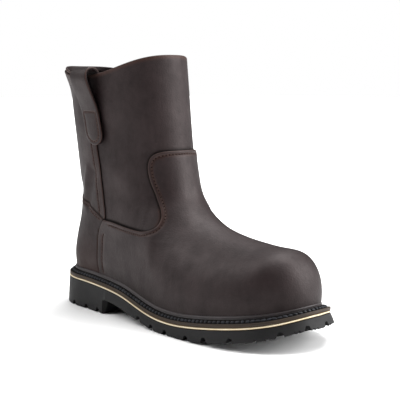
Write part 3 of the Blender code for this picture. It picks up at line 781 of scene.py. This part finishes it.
# Middle layer of a strap from its round end on: distance out from the shaft, and height.
STRAP_OUT = (2.1, 2.1, 2.3, 4.4, 7.8, 10.2, 10.4, 8.2, 3.2, -2.4, -5.6, -5.5, -5.1, -5.1)
STRAP_Z = (165, 180, 194.5, 206, 217, 226, 231.3, 236, 238.4, 237.4, 232.5, 222, 208, 196)
STRAP_STEPS = 800
STRAP_LEAN = {"z": (160, 240), "x": (79, 63)}    # middle of a strap at its foot and at the collar
STRAP_RIM = (SECTIONS["back_z"][-1] + SECTIONS["front_z"][-1]) / 2 - COLLAR_DIP
STRAP_SEWN = 32.0        # from the round end to the row across
STRAP_STITCH = 3.6       # from the edge to the row round the end
STRAP_GROOVE = 0.8       # half width and depth of the line that its stitches sink into, and its painted shade
STRAP_GROOVE_DEPTH = 0.4
STRAP_GROOVE_SHADE = 0.9
STRAP_STITCH_SINK = 0.25
STRAP_PUFF = 0.5         # the middle of the sewn end is this much thicker
STRAP_PUFF_FROM = 10.0   # at this distance from its edge
STRAP_PUFF_END = 8.0     # and from the row across
STRAP_EDGE = 1.3         # radius of the turned edge
# Points of a strap's mesh: distances in from its edge, and then along from its round end.
STRAP_COLUMNS = (0, 0.1, 0.4, 0.8, 1.3, 2.2, 2.9, 3.25, 3.6, 3.95, 4.3, 5, 6.5, 8.2, 9.8, 11.4)
STRAP_ROUND_ROWS = (0.01, 0.06, 0.2, 0.5, 0.9, 1.5, 2.2, 2.8, 3.2, 3.6, 4.0, 4.4)
STRAP_SEWN_ROWS = np.linspace(5, STRAP_SEWN - 1, 34)
STRAP_ACROSS_ROWS = (STRAP_SEWN - 0.4, STRAP_SEWN, STRAP_SEWN + 0.4)
STRAP_LOOP_ROWS = 81
STRAP_TURN_POINTS = 40   # points of a row of stitches: round the end, along each side, and across
STRAP_SIDE_POINTS = 16
STRAP_ACROSS_POINTS = 20
strap_knots = np.linspace(0, 1, len(STRAP_Z))
strap_path = np.stack([spline(strap_knots, table, np.linspace(0, 1, STRAP_STEPS))
                       for table in (STRAP_OUT, STRAP_Z)], axis=1)
strap_run = run_length(strap_path)
strap_slope = unit(np.gradient(strap_path, axis=0))
strap_leather = oiled_leather("oiled_leather_strap", 0.54)


def strap_point(side, along, beside, height):
    """Point of a strap: along from its round end, beside its middle line, height off its middle layer."""
    out, z, lean_out, lean_z = (np.interp(along, strap_run, table) for table in
                                (*strap_path.T, *strap_slope.T))
    x = np.interp(z, STRAP_LEAN["z"], STRAP_LEAN["x"]) + beside
    reach = out + height * lean_z
    z = z - height * lean_out
    width = half_width(x, np.minimum(z, STRAP_RIM), side)
    return np.stack([x, side * (width + reach), z], axis=-1)


def strap_half(along):
    """Half width of a strap, which is round at its end."""
    end = STRAP_WIDTH / 2
    return end * np.sqrt(1 - np.clip(1 - along / end, 0, 1) ** 2)


def add_strap(name, side, node):
    end = STRAP_WIDTH / 2
    loop_rows = np.linspace(STRAP_SEWN + 1, strap_run[-1], STRAP_LOOP_ROWS)
    along = np.concatenate([STRAP_ROUND_ROWS, STRAP_SEWN_ROWS, STRAP_ACROSS_ROWS, loop_rows])
    inset = np.array(STRAP_COLUMNS)
    share = np.concatenate([inset / end - 1, [0], 1 - inset[::-1] / end])
    rows, edge = [], []
    for at in along:
        beside = strap_half(at) * share
        clear = end - np.hypot(np.maximum(end - at, 0), beside)
        full = np.sqrt(1 - (1 - np.clip(clear / STRAP_EDGE, 0, 1)) ** 2)
        seam = np.exp(-((clear - STRAP_STITCH) / STRAP_GROOVE) ** 2) * (at < STRAP_SEWN)
        across = np.exp(-((at - STRAP_SEWN) / STRAP_GROOVE) ** 2) * (clear > STRAP_STITCH)
        sunk = np.maximum(seam, across)
        puff = smooth(clear, STRAP_STITCH, STRAP_PUFF_FROM) * smooth(STRAP_SEWN - at, 0, STRAP_PUFF_END)
        outer = STRAP_THICK / 2 * full + STRAP_PUFF * puff - STRAP_GROOVE_DEPTH * sunk
        rows.append(strap_point(side, at, beside, outer))
        rows.append(strap_point(side, at, beside, -STRAP_THICK / 2 * full)[::-1])
        # The turned edge goes from rubbed brown to nearly black, dark edge dye with painted shade, and the
        # stitch line takes painted shade
        edge += [np.maximum(1 - full, STRAP_GROOVE_SHADE * sunk), np.zeros(len(share))]
    count = 2 * len(share)
    faces = grid_faces(len(along), count)
    last = (len(along) - 1) * count
    for i in range(len(share) - 1):
        cap = [i, i + 1, count - 2 - i, count - 1 - i]
        faces.append(cap[::-1])
        faces.append([last + k for k in cap])
    if side > 0:
        faces = [face[::-1] for face in faces]
    strap = add_piece(name, np.concatenate(rows), faces, [strap_leather], node,
                      smooth_angle=60)
    raise_mark_level(strap, "edge", np.concatenate(edge))
    inner = end - STRAP_STITCH
    turn = np.linspace(0, math.pi, STRAP_TURN_POINTS)[1:-1]
    straight = np.linspace(STRAP_SEWN, end, STRAP_SIDE_POINTS)
    sideways = np.full(STRAP_SIDE_POINTS, inner)
    round_end = (np.concatenate([straight, end - inner * np.sin(turn), straight[::-1]]),
                 np.concatenate([-sideways, -inner * np.cos(turn), sideways]))
    row_across = np.full(STRAP_ACROSS_POINTS, STRAP_SEWN), np.linspace(-inner, inner, STRAP_ACROSS_POINTS)
    runs = []
    for run_along, run_beside in (round_end, row_across):
        low, high = (strap_point(side, run_along, run_beside, STRAP_THICK / 2 - STRAP_STITCH_SINK + up)
                     for up in (0, 1))
        runs.append((low, high - low))
    add_stitches(name + "_stitches", runs, SEAM_PITCH, SEAM_STITCH, brown_thread)


add_strap("strap_outer_side", -1, "pull_strap_lateral")
add_strap("strap_inner_side", 1, "pull_strap_medial")

# Insole. A loose footbed of pressed felt with a woven top, lying on the sole inside the boot. Its rim is
# turned up a little where it meets the lining.
INSOLE_THICK = 3.0
INSOLE_TOP = INSOLE_THICK + 1.2   # height of the turned-up rim
INSOLE_IN = WALL + 2 * GAP
# Distance in from the edge, and height, from the underside over the rim to the middle.
INSOLE_SHAPE = ((2.0, 0.0), (0.3, 0.0), (0.0, 0.4), (0.0, INSOLE_TOP - 0.7), (0.35, INSOLE_TOP - 0.1),
                (0.9, INSOLE_TOP), (2.0, INSOLE_TOP - 0.2), (4.5, INSOLE_THICK + 0.3), (8.0, INSOLE_THICK),
                (16.0, INSOLE_THICK - 0.2))
PLAN_COLUMNS = 320       # points round the foot in plan

# Pressed felt: matt brown wool with a woven top cloth, worn in patches.
FELT_WEAVE = 2.0         # threads are about 0.6 mm apart; drawn at this size to show
FELT_PATCH = 25.0
WEAVE_HEIGHT = 0.3
insole_felt, shader = new_material("pressed_felt")
place = add_node(insole_felt, "TexCoord", {}, {})
warp, weft = (add_node(insole_felt, "TexWave", {"Scale": WAVE_REPEAT / (FELT_WEAVE * MM), "Distortion": 0.6,
                                                "bands_direction": way}, {"Vector": (place, "Object")})
              for way in ("X", "Y"))
weave = add_node(insole_felt, "Math", {"operation": "MAXIMUM"}, {0: (warp, "Fac"), 1: (weft, "Fac")})
patch = add_node(insole_felt, "TexNoise", {"Scale": 1 / (FELT_PATCH * MM), "Detail": 4.0},
                 {"Vector": (place, "Object")})
shade = add_node(insole_felt, "Math", {"operation": "MULTIPLY"}, {0: (weave, "Value"), 1: (patch, "Fac")})
mixed = add_node(insole_felt, "Mix", {"data_type": "RGBA", 6: colour("#3a302a"), 7: colour("#6b5a4b")},
                 {0: (shade, "Value")})
raised = add_node(insole_felt, "Bump", {"Strength": 0.6, "Distance": WEAVE_HEIGHT * MM},
                  {"Height": (weave, "Value")})
set_node(insole_felt, shader, {"Roughness": 0.9}, {"Base Color": (mixed, 2), "Normal": (raised, "Normal")})

plan_u = np.arange(PLAN_COLUMNS) / PLAN_COLUMNS
plan_foot = read_skin(last_form, plan_u, 0.0)
plan_along = np.roll(plan_foot, -1, axis=0) - np.roll(plan_foot, 1, axis=0)
plan_out = unit(np.stack([plan_along[:, 1], -plan_along[:, 0]], axis=1))


def plan_loop(out, base, up):
    """Loop round the foot in plan, moved outwards, and up from a base whose height is a function of x."""
    plan = plan_foot[:, :2] + np.broadcast_to(out, PLAN_COLUMNS)[:, None] * plan_out
    return np.concatenate([plan, (base(plan[:, 0]) + up)[:, None]], axis=1)


def rung_faces(first, count):
    """Quads across a loop from the outer to the inner side, from the heel to the toe."""
    faces = [[first, first + 1, first + count - 1]]
    for i in range(1, count // 2 - 1):
        faces.append([first + i, first + i + 1, first + count - i - 1, first + count - i])
    faces.append([first + count // 2 - 1, first + count // 2, first + count // 2 + 1])
    return faces


def closed_faces(rows, count):
    """Quads between neighbouring loops, and across the last loop and the first."""
    top = rung_faces((rows - 1) * count, count)
    bottom = [face[::-1] for face in rung_faces(0, count)]
    return grid_faces(rows, count) + top + bottom


insole_rows = [plan_loop(-INSOLE_IN - inset, seat, up) for inset, up in INSOLE_SHAPE]
add_piece("footbed", np.concatenate(insole_rows), closed_faces(len(insole_rows), PLAN_COLUMNS), [insole_felt],
          "insole")

# Welt. A moulded rubber strip round the foot of the upper with a raised round bead against the leather and a
# flat edge, sewn down through a channel. Its cut outer edge is browner than its top.
WELT_WIDTH = {"x": (0, 50, 120, 230, 285, 302), "out": (9.6, 8.5, 8.0, 8.4, 10.4, 11.0)}
WELT_BACK = ((0.3, 0.0), (0.3, 3.5))    # distance out from the leather, and height, under the bead
BEAD_MIDDLE = (1.9, 7.5)
BEAD_RADIUS = 1.4
BEAD_TURN = (215, -40)   # degrees from the leather over the top to the channel
BEAD_STEPS = 14
# Channel and cut edge: share of the way from the bead to the sole's edge, distance out from there, height.
CHANNEL_SHAPE = ((0.05, 0, 6.2), (0.2, 0, 5.2), (0.4, 0, 4.3), (0.6, 0, 3.6), (0.78, 0, 3.1), (0.86, 0, 3.05))
CUT_EDGE_SHAPE = ((1, -0.75, 3.1), (1, -0.4, 2.95), (1, -0.1, 2.65), (1, 0.05, 2.2), (1, 0.05, 0.4),
                  (1, -0.1, 0.05), (1, -0.6, 0.0))
WELT_PITCH = 4.6
WELT_STITCH = (3.7, 2.5, 1.9)
WELT_STITCH_PLACE = (0.46, 4.35)   # share of the way to the edge, and height
WELT_STITCH_LEAN = 1.0             # how far a stitch leans out for each millimetre up, like the channel
WELT_UNEVEN = 0.16

# Welt rubber: black with a grey bloom, satin on the bead, with moulding grit about 1 mm across.
RUBBER_GRIT = 1.2
GRIT_HEIGHT = 0.15
RUBBER_BLOOM = 22.0      # patches of the bloom
BLOOM_DULL = (-0.08, 0.1)         # change of the roughness from no bloom to much


def moulded_rubber(name, dark, pale, rough, shine):
    made, shader = new_material(name)
    place = add_node(made, "TexCoord", {}, {})
    bloom = add_node(made, "TexNoise", {"Scale": 1 / (RUBBER_BLOOM * MM), "Detail": 6.0, "Roughness": 0.65},
                     {"Vector": (place, "Object")})
    grit = add_node(made, "TexNoise", {"Scale": 1 / (RUBBER_GRIT * MM), "Detail": 3.0},
                    {"Vector": (place, "Object")})
    tint = add_node(made, "MapRange", {"From Min": 0.36, "From Max": 0.7}, {"Value": (bloom, "Fac")})
    body = add_node(made, "Mix", {"data_type": "RGBA", 6: colour(dark), 7: colour(pale)},
                    {0: (tint, "Result")})
    mould = add_node(made, "Bump", {"Strength": 0.3, "Distance": GRIT_HEIGHT * MM}, {"Height": (grit, "Fac")})
    dull = add_node(made, "MapRange", {"From Min": 0.3, "From Max": 0.7, "To Min": rough + BLOOM_DULL[0],
                                       "To Max": rough + BLOOM_DULL[1]}, {"Value": (bloom, "Fac")})
    set_node(made, shader, {"IOR": 1.52, "Specular IOR Level": shine},
             {"Base Color": (body, 2), "Normal": (mould, "Normal"), "Roughness": (dull, "Result")})
    return made


bead_rubber = moulded_rubber("welt_rubber_bead", "#272223", "#393435", 0.5, 0.28)
# The channel has a near-black, duller copy of the welt rubber: painted shade
channel_rubber_painted_shade = moulded_rubber("welt_rubber_channel_painted_shade", "#060404", "#0c0909", 0.7, 0.08)
edge_rubber = moulded_rubber("welt_rubber_cut_edge", "#20170f", "#362a1d", 0.6, 0.25)
welt_width = spline(WELT_WIDTH["x"], WELT_WIDTH["out"], plan_foot[:, 0])
bead_end = BEAD_MIDDLE[0] + BEAD_RADIUS * math.cos(math.radians(BEAD_TURN[1]))
welt_shape = list(WELT_BACK)
for turned in np.radians(np.linspace(*BEAD_TURN, BEAD_STEPS)):
    welt_shape.append((BEAD_MIDDLE[0] + BEAD_RADIUS * math.cos(turned),
                       BEAD_MIDDLE[1] + BEAD_RADIUS * math.sin(turned)))
channel_start = len(welt_shape)
cut_edge_start = channel_start + len(CHANNEL_SHAPE)
for part, beyond, up in CHANNEL_SHAPE + CUT_EDGE_SHAPE:
    welt_shape.append((bead_end + part * (welt_width - bead_end) + beyond, up))
welt_rows = [plan_loop(out, seat, up) for out, up in welt_shape]
welt_faces = [face[::-1] for face in grid_faces(len(welt_rows), PLAN_COLUMNS)]
welt_base = (len(welt_rows) - 1) * PLAN_COLUMNS
for i in range(PLAN_COLUMNS):
    after = (i + 1) % PLAN_COLUMNS
    welt_faces.append((i, after, welt_base + after, welt_base + i))
welt = add_piece("welt_strip", np.concatenate(welt_rows), welt_faces,
                 [bead_rubber, channel_rubber_painted_shade, edge_rubber], "welt")
for number, polygon in enumerate(welt.data.polygons):
    row = number // PLAN_COLUMNS
    polygon.material_index = 0 if row < channel_start else 1 if row < cut_edge_start - 1 else 2
black_thread = waxed_thread("waxed_thread_black", "#0b0c0f", "#2a2c33")
welt_middle = bead_end + WELT_STITCH_PLACE[0] * (welt_width - bead_end)
welt_line = plan_loop(welt_middle, seat, WELT_STITCH_PLACE[1])
welt_lean = np.concatenate([WELT_STITCH_LEAN * plan_out, np.ones((PLAN_COLUMNS, 1))], axis=1)
welt_run = [np.concatenate([table, table[:1]]) for table in (welt_line, welt_lean)]
add_stitches("welt_stitches", [welt_run], WELT_PITCH, WELT_STITCH, black_thread, WELT_UNEVEN)

# Midsole runner. A thin strip of pale rubber between the welt and the outsole, ground flush with them, that
# shows as a cream line all round, stained ochre where it meets them.
RUNNER_SHAPE = ((-1.5, 0.0), (-0.2, 0.0), (0.05, 0.3), (0.15, 0.4), (0.18, 0.9), (0.15, 1.4), (0.05, 1.5),
                (-0.2, RUNNER_THICK), (-1.5, RUNNER_THICK))
RUNNER_PALE = (2, 6)     # rows of the shape that show cream
# Cream rubber: pale rubber ground on a wheel, so it shows even and satin, with glue stains at its edges.
runner_rubber = moulded_rubber("midsole_rubber_cream", "#c8b998", "#dbd2bd", 0.5, 0.28)
stained_rubber = moulded_rubber("midsole_rubber_stained", "#5e4318", "#8e6c2e", 0.6, 0.28)
runner_rows = [plan_loop(welt_width + beyond, sole_top, GAP + up) for beyond, up in RUNNER_SHAPE]
runner_faces = closed_faces(len(runner_rows), PLAN_COLUMNS)
runner = add_piece("midsole_runner", np.concatenate(runner_rows), runner_faces,
                   [runner_rubber, stained_rubber], "midsole")
for number, polygon in enumerate(runner.data.polygons):
    polygon.material_index = 0 if RUNNER_PALE[0] <= number // PLAN_COLUMNS < RUNNER_PALE[1] else 1

# Outsole. One moulded unit of black nitrile rubber: heel block, arch, forefoot and toe spring, with lugs
# parted by tapered grooves at its edge and across its middle. It is cemented under the runner.
SOLE_FLARE = {"x": (0, 50, 120, 230, 285, 302), "out": (1.8, 1.5, 1.5, 1.6, 3.2, 3.6)}
# Share of the way up, share of the flare, distance out and height beyond those, from the tread to the top.
SOLE_SHAPE = ((0, 1, -1.2, 0.0), (0, 1, -0.35, 0.25), (0, 1, 0, 0.9), (0.5, 0.5, 0.3, 0.0),
              (1, 0, 0.25, -1.0), (1, 0, 0.1, -0.35), (1, 0, -0.4, 0.0))
SOLE_STATIONS = 180
SOLE_SHARP = 35          # edges of the lugs that bend more than this many degrees stay sharp
HEEL_BREAST = 87.5
BREAST_SLOPE = 1.2       # how far the heel's front face leans
BREAST_CHAMFER = 2.8     # depth of the cut corner at each end of the heel's front face
BREAST_HEIGHT = 13.6     # from the floor to the arch, in front of the heel
CHAMFER_CUTTER = 9.0     # size of the block that cuts the corner
FLAT_SPOT = 0.2          # taken off under the ball, so that it stands flat on the floor
LUG_DEPTH = 4.6
LUG_GROOVE = 7.4         # groove width at the tread
LUG_TAPER = 0.45         # and at its root, as a share of that
LUG_LENGTH = 22.0
# Grooves across the edge, as shares of the way along it from the heel to the toe, and grooves across the
# middle, as distances from the back of the heel.
GROOVES_OUTER = (0.06, 0.196, 0.26, 0.32, 0.48, 0.525, 0.57, 0.63, 0.684, 0.752, 0.874, 0.947)
GROOVES_INNER = (0.06, 0.196, 0.26, 0.32, 0.488, 0.535, 0.583, 0.64, 0.693, 0.76, 0.84, 0.915, 0.982)
GROOVES_ACROSS = (30, 56, 172, 197, 224, 251, 276)
GROOVE_ACROSS_LENGTH = 38.0
GROOVE_SPARE = 8.0       # how far a groove's cutter reaches past the tread
FINE_OUTER = (0.815, 0.845, 0.91, 0.928, 0.966, 0.984)      # small steps between the lugs round the toe
FINE_INNER = (0.8, 0.82, 0.865, 0.89, 0.94, 0.96)
FINE_SIZE = (3.0, 2.0, 9.0)                                 # width, depth and length of a step
# Nitrile rubber: moulded with carbon black, so it is deep black and matt. The grooves get a darker, duller
# copy of it: painted shade.
sole_rubber = moulded_rubber("nitrile_rubber_black", "#0c0b0c", "#161516", 0.62, 0.25)
groove_rubber_painted_shade = moulded_rubber("nitrile_rubber_grooves_painted_shade", "#070707", "#0e0e0e", 0.8, 0.28)
sole_flare = spline(SOLE_FLARE["x"], SOLE_FLARE["out"], plan_foot[:, 0])
sole_outline = plan_loop(welt_width + sole_flare, sole_top, 0)[:, :2]
sole_length = np.ptp(sole_outline[:, 0])


def under(x):
    """Underside of the outsole: heel block on the floor, then the arch, the ball and the toe spring."""
    arch = np.maximum(spline(SOLE["x"], SOLE["under"], x) - FLAT_SPOT, 0)
    return arch * np.clip((x - HEEL_BREAST) / BREAST_SLOPE + 0.5, 0, 1)


def stations(outline, shares):
    """Outline resampled at shares of its length, along the outer side and back along the inner."""
    half = len(outline) // 2
    inner = np.concatenate([outline[:1], outline[half:][::-1]])
    x = outline[0, 0] + (outline[half, 0] - outline[0, 0]) * shares
    outer_y = np.interp(x, outline[:half + 1, 0], outline[:half + 1, 1])
    inner_y = np.interp(x, inner[:, 0], inner[:, 1])
    return np.concatenate([np.stack([x, outer_y], axis=1), np.stack([x, inner_y], axis=1)[-2:0:-1]])


def edge_grooves(shares, way, wide, deep, length):
    """Place in plan, direction, half length, width and depth of grooves across the sole's edge."""
    half = len(sole_outline) // 2
    for share in shares:
        i = way * round(share * half)
        along = sole_outline[(i + 1) % len(sole_outline)] - sole_outline[i - 1]
        out = np.array([along[1], -along[0]]) / np.linalg.norm(along)
        middle = sole_outline[i] + (GROOVE_SPARE - length) / 2 * out
        yield middle, out, (GROOVE_SPARE + length) / 2, wide, deep


def tread_grooves():
    """All grooves of the tread: lugs and small steps at both edges, then those across the middle."""
    for way, shares, fine in ((1, GROOVES_OUTER, FINE_OUTER), (-1, GROOVES_INNER, FINE_INNER)):
        yield from edge_grooves(shares, way, LUG_GROOVE, LUG_DEPTH, LUG_LENGTH)
        yield from edge_grooves(fine, way, *FINE_SIZE)
    for place in GROOVES_ACROSS:
        pair = stations(sole_outline, np.array([0, place / sole_length, 1]))
        yield pair[[1, 3]].mean(axis=0), np.array([0.0, 1.0]), GROOVE_ACROSS_LENGTH / 2, LUG_GROOVE, LUG_DEPTH


def block_matrix(middle, z, angle, size):
    """Brings a unit cube to a size, turned about the upright, and to a place in the sole."""
    place = Matrix.Translation(((middle[0] + HEEL_X) * MM, middle[1] * MM, z * MM))
    turn = Matrix.Rotation(angle, 4, "Z")
    return place @ turn @ Matrix.Diagonal([*(side * MM for side in size), 1])


share_of_length = (1 - np.cos(np.linspace(0, math.pi, SOLE_STATIONS + 1))) / 2
breast_share = (HEEL_BREAST - sole_outline[:, 0].min()) / sole_length
breast_half = BREAST_SLOPE / 2 / sole_length
share_of_length = share_of_length[np.abs(share_of_length - breast_share) > 2 * breast_half]
breast_rows = breast_share - breast_half, breast_share + breast_half
share_of_length = np.sort(np.concatenate([share_of_length, breast_rows]))
sole_rows = []
for rise, flared, beyond, raised_by in SOLE_SHAPE:
    outline = plan_loop(welt_width + flared * sole_flare + beyond, sole_top, 0)[:, :2]
    ring = stations(outline, share_of_length)
    low, high = under(ring[:, 0]), sole_top(ring[:, 0])
    sole_rows.append(np.concatenate([ring, (low + (high - low) * rise + raised_by)[:, None]], axis=1))
sole_faces = closed_faces(len(sole_rows), len(sole_rows[0]))
outsole = add_piece("lugged_outsole", np.concatenate(sole_rows), sole_faces, [sole_rubber],
                    "outsole")
cutters = bmesh.new()
for middle, out, reach, wide, deep in tread_grooves():
    tip = middle + (reach - GROOVE_SPARE) * out
    tread = max(float(under(middle[0])), float(under(tip[0])))
    low = tread - GROOVE_SPARE
    high = tread + deep
    block = bmesh.ops.create_cube(cutters, size=1)["verts"]
    for corner in block:
        corner.co.y *= LUG_TAPER if corner.co.z > 0 else 1 + (1 - LUG_TAPER) * GROOVE_SPARE / deep
    matrix = block_matrix(middle, (low + high) / 2, math.atan2(out[1], out[0]), (2 * reach, wide, high - low))
    bmesh.ops.transform(cutters, matrix=matrix, verts=block)
# Faces cut by the grooves take the painted shade rubber
for face in cutters.faces:
    face.material_index = 1
breast_ends = stations(sole_outline, np.array([0, breast_share, 1]))[[1, 3]]
for corner, way in zip(breast_ends, (-1, 1)):
    middle = corner + (CHAMFER_CUTTER / 2 - BREAST_CHAMFER) * np.array((1, way)) / math.sqrt(2)
    size = CHAMFER_CUTTER, CHAMFER_CUTTER, 2 * BREAST_HEIGHT
    bmesh.ops.create_cube(cutters, size=1, matrix=block_matrix(middle, 0, way * math.pi / 4, size))
cutter_mesh = bpy.data.meshes.new("lug_grooves")
cutters.to_mesh(cutter_mesh)
cutters.free()
cutter_mesh.materials.append(sole_rubber)
cutter_mesh.materials.append(groove_rubber_painted_shade)
cutter = bpy.data.objects.new("lug_grooves", cutter_mesh)
bpy.context.scene.collection.objects.link(cutter)
cut = outsole.modifiers.new("lug_grooves", "BOOLEAN")
cut.operation = "DIFFERENCE"
cut.solver = "EXACT"
cut.use_self = True
cut.material_mode = "TRANSFER"
cut.object = cutter
bpy.context.view_layer.update()
cut_mesh = bpy.data.meshes.new_from_object(outsole.evaluated_get(bpy.context.evaluated_depsgraph_get()))
outsole.modifiers.clear()
outsole.data = cut_mesh
cut_mesh.shade_smooth()
cut_mesh.set_sharp_from_angle(angle=math.radians(SOLE_SHARP))
bpy.data.objects.remove(cutter, do_unlink=True)

# Studio. A plain white floor under a white sky, lit by six big soft boxes round the boot and above it, with
# the camera at the photograph's angle. Places of the camera are in metres.
FLOOR_HALF = 12.0
FLOOR_DROP = 0.2         # the floor lies this far under the tread
FLOOR_GRAIN = 16.7       # size of the paint's grain
SKY_LIGHT = 0.01         # the sky lights the boot very little, and the camera sees it white
# Name, azimuth from the toe to the inner side, elevation and irradiance of each soft box.
SOFTBOXES = (
    ("front_low_softbox", 36, 10, 2.4),
    ("front_high_softbox", 45, 32, 3.2),
    ("back_low_softbox", 225, 32, 1.15),
    ("back_high_softbox", 216, 55, 1.45),
    ("inner_side_softbox", 122, 55, 0.9),
    ("overhead_softbox", 72, 74, 3.2),
)
SOFTBOX_ANGLE = 36.0     # how large each looks from the boot, in degrees
CAMERA_PLACE = (0.6413, -0.625, 0.224)
CAMERA_AIM = (0.0043, 0.012, 0.114)
LENS = 85.8

# Matt white paint, with a grain so faint that it only keeps the floor from being flat.
floor_paint, shader = new_material("white_floor")
place = add_node(floor_paint, "TexCoord", {}, {})
grain = add_node(floor_paint, "TexNoise", {"Scale": 1 / (FLOOR_GRAIN * MM)}, {"Vector": (place, "Object")})
tint = add_node(floor_paint, "Mix", {"data_type": "RGBA", 6: colour("#fafafa"), 7: colour("#fdfdfd")},
                {0: (grain, "Fac")})
set_node(floor_paint, shader, {"Roughness": 0.8}, {"Base Color": (tint, 2)})
bpy.ops.mesh.primitive_plane_add(size=2 * FLOOR_HALF, location=(0, 0, -FLOOR_DROP * MM))
floor = bpy.context.object
floor.name = "studio_floor"
floor.data.materials.append(floor_paint)

world = bpy.data.worlds.new("white_studio")
world.use_nodes = True
bpy.context.scene.world = world
sky = set_node(world, world.node_tree.nodes["Background"], {"Color": (1, 1, 1, 1), "Strength": SKY_LIGHT}, {})
seen = add_node(world, "Background", {"Color": (1, 1, 1, 1), "Strength": 1.0}, {})
path = add_node(world, "LightPath", {}, {})
choose = add_node(world, "MixShader", {}, {0: (path, "Is Camera Ray"), 1: (sky, 0), 2: (seen, 0)})
set_node(world, world.node_tree.nodes["World Output"], {}, {"Surface": (choose, 0)})

for light_name, azimuth, elevation, power in SOFTBOXES:
    lamp = bpy.data.lights.new(light_name, "SUN")
    lamp.angle = math.radians(SOFTBOX_ANGLE)
    lamp.energy = power
    holder = bpy.data.objects.new(light_name, lamp)
    holder.rotation_euler = (0, math.radians(90 - elevation), math.radians(azimuth))
    bpy.context.scene.collection.objects.link(holder)

eye = bpy.data.cameras.new("photo_view")
eye.lens = LENS
camera = bpy.data.objects.new("photo_view", eye)
camera.location = CAMERA_PLACE
camera.rotation_euler = (Vector(CAMERA_AIM) - Vector(CAMERA_PLACE)).to_track_quat("-Z", "Y").to_euler()
bpy.context.scene.collection.objects.link(camera)
bpy.context.scene.camera = camera
bpy.context.scene.view_settings.view_transform = "Standard"
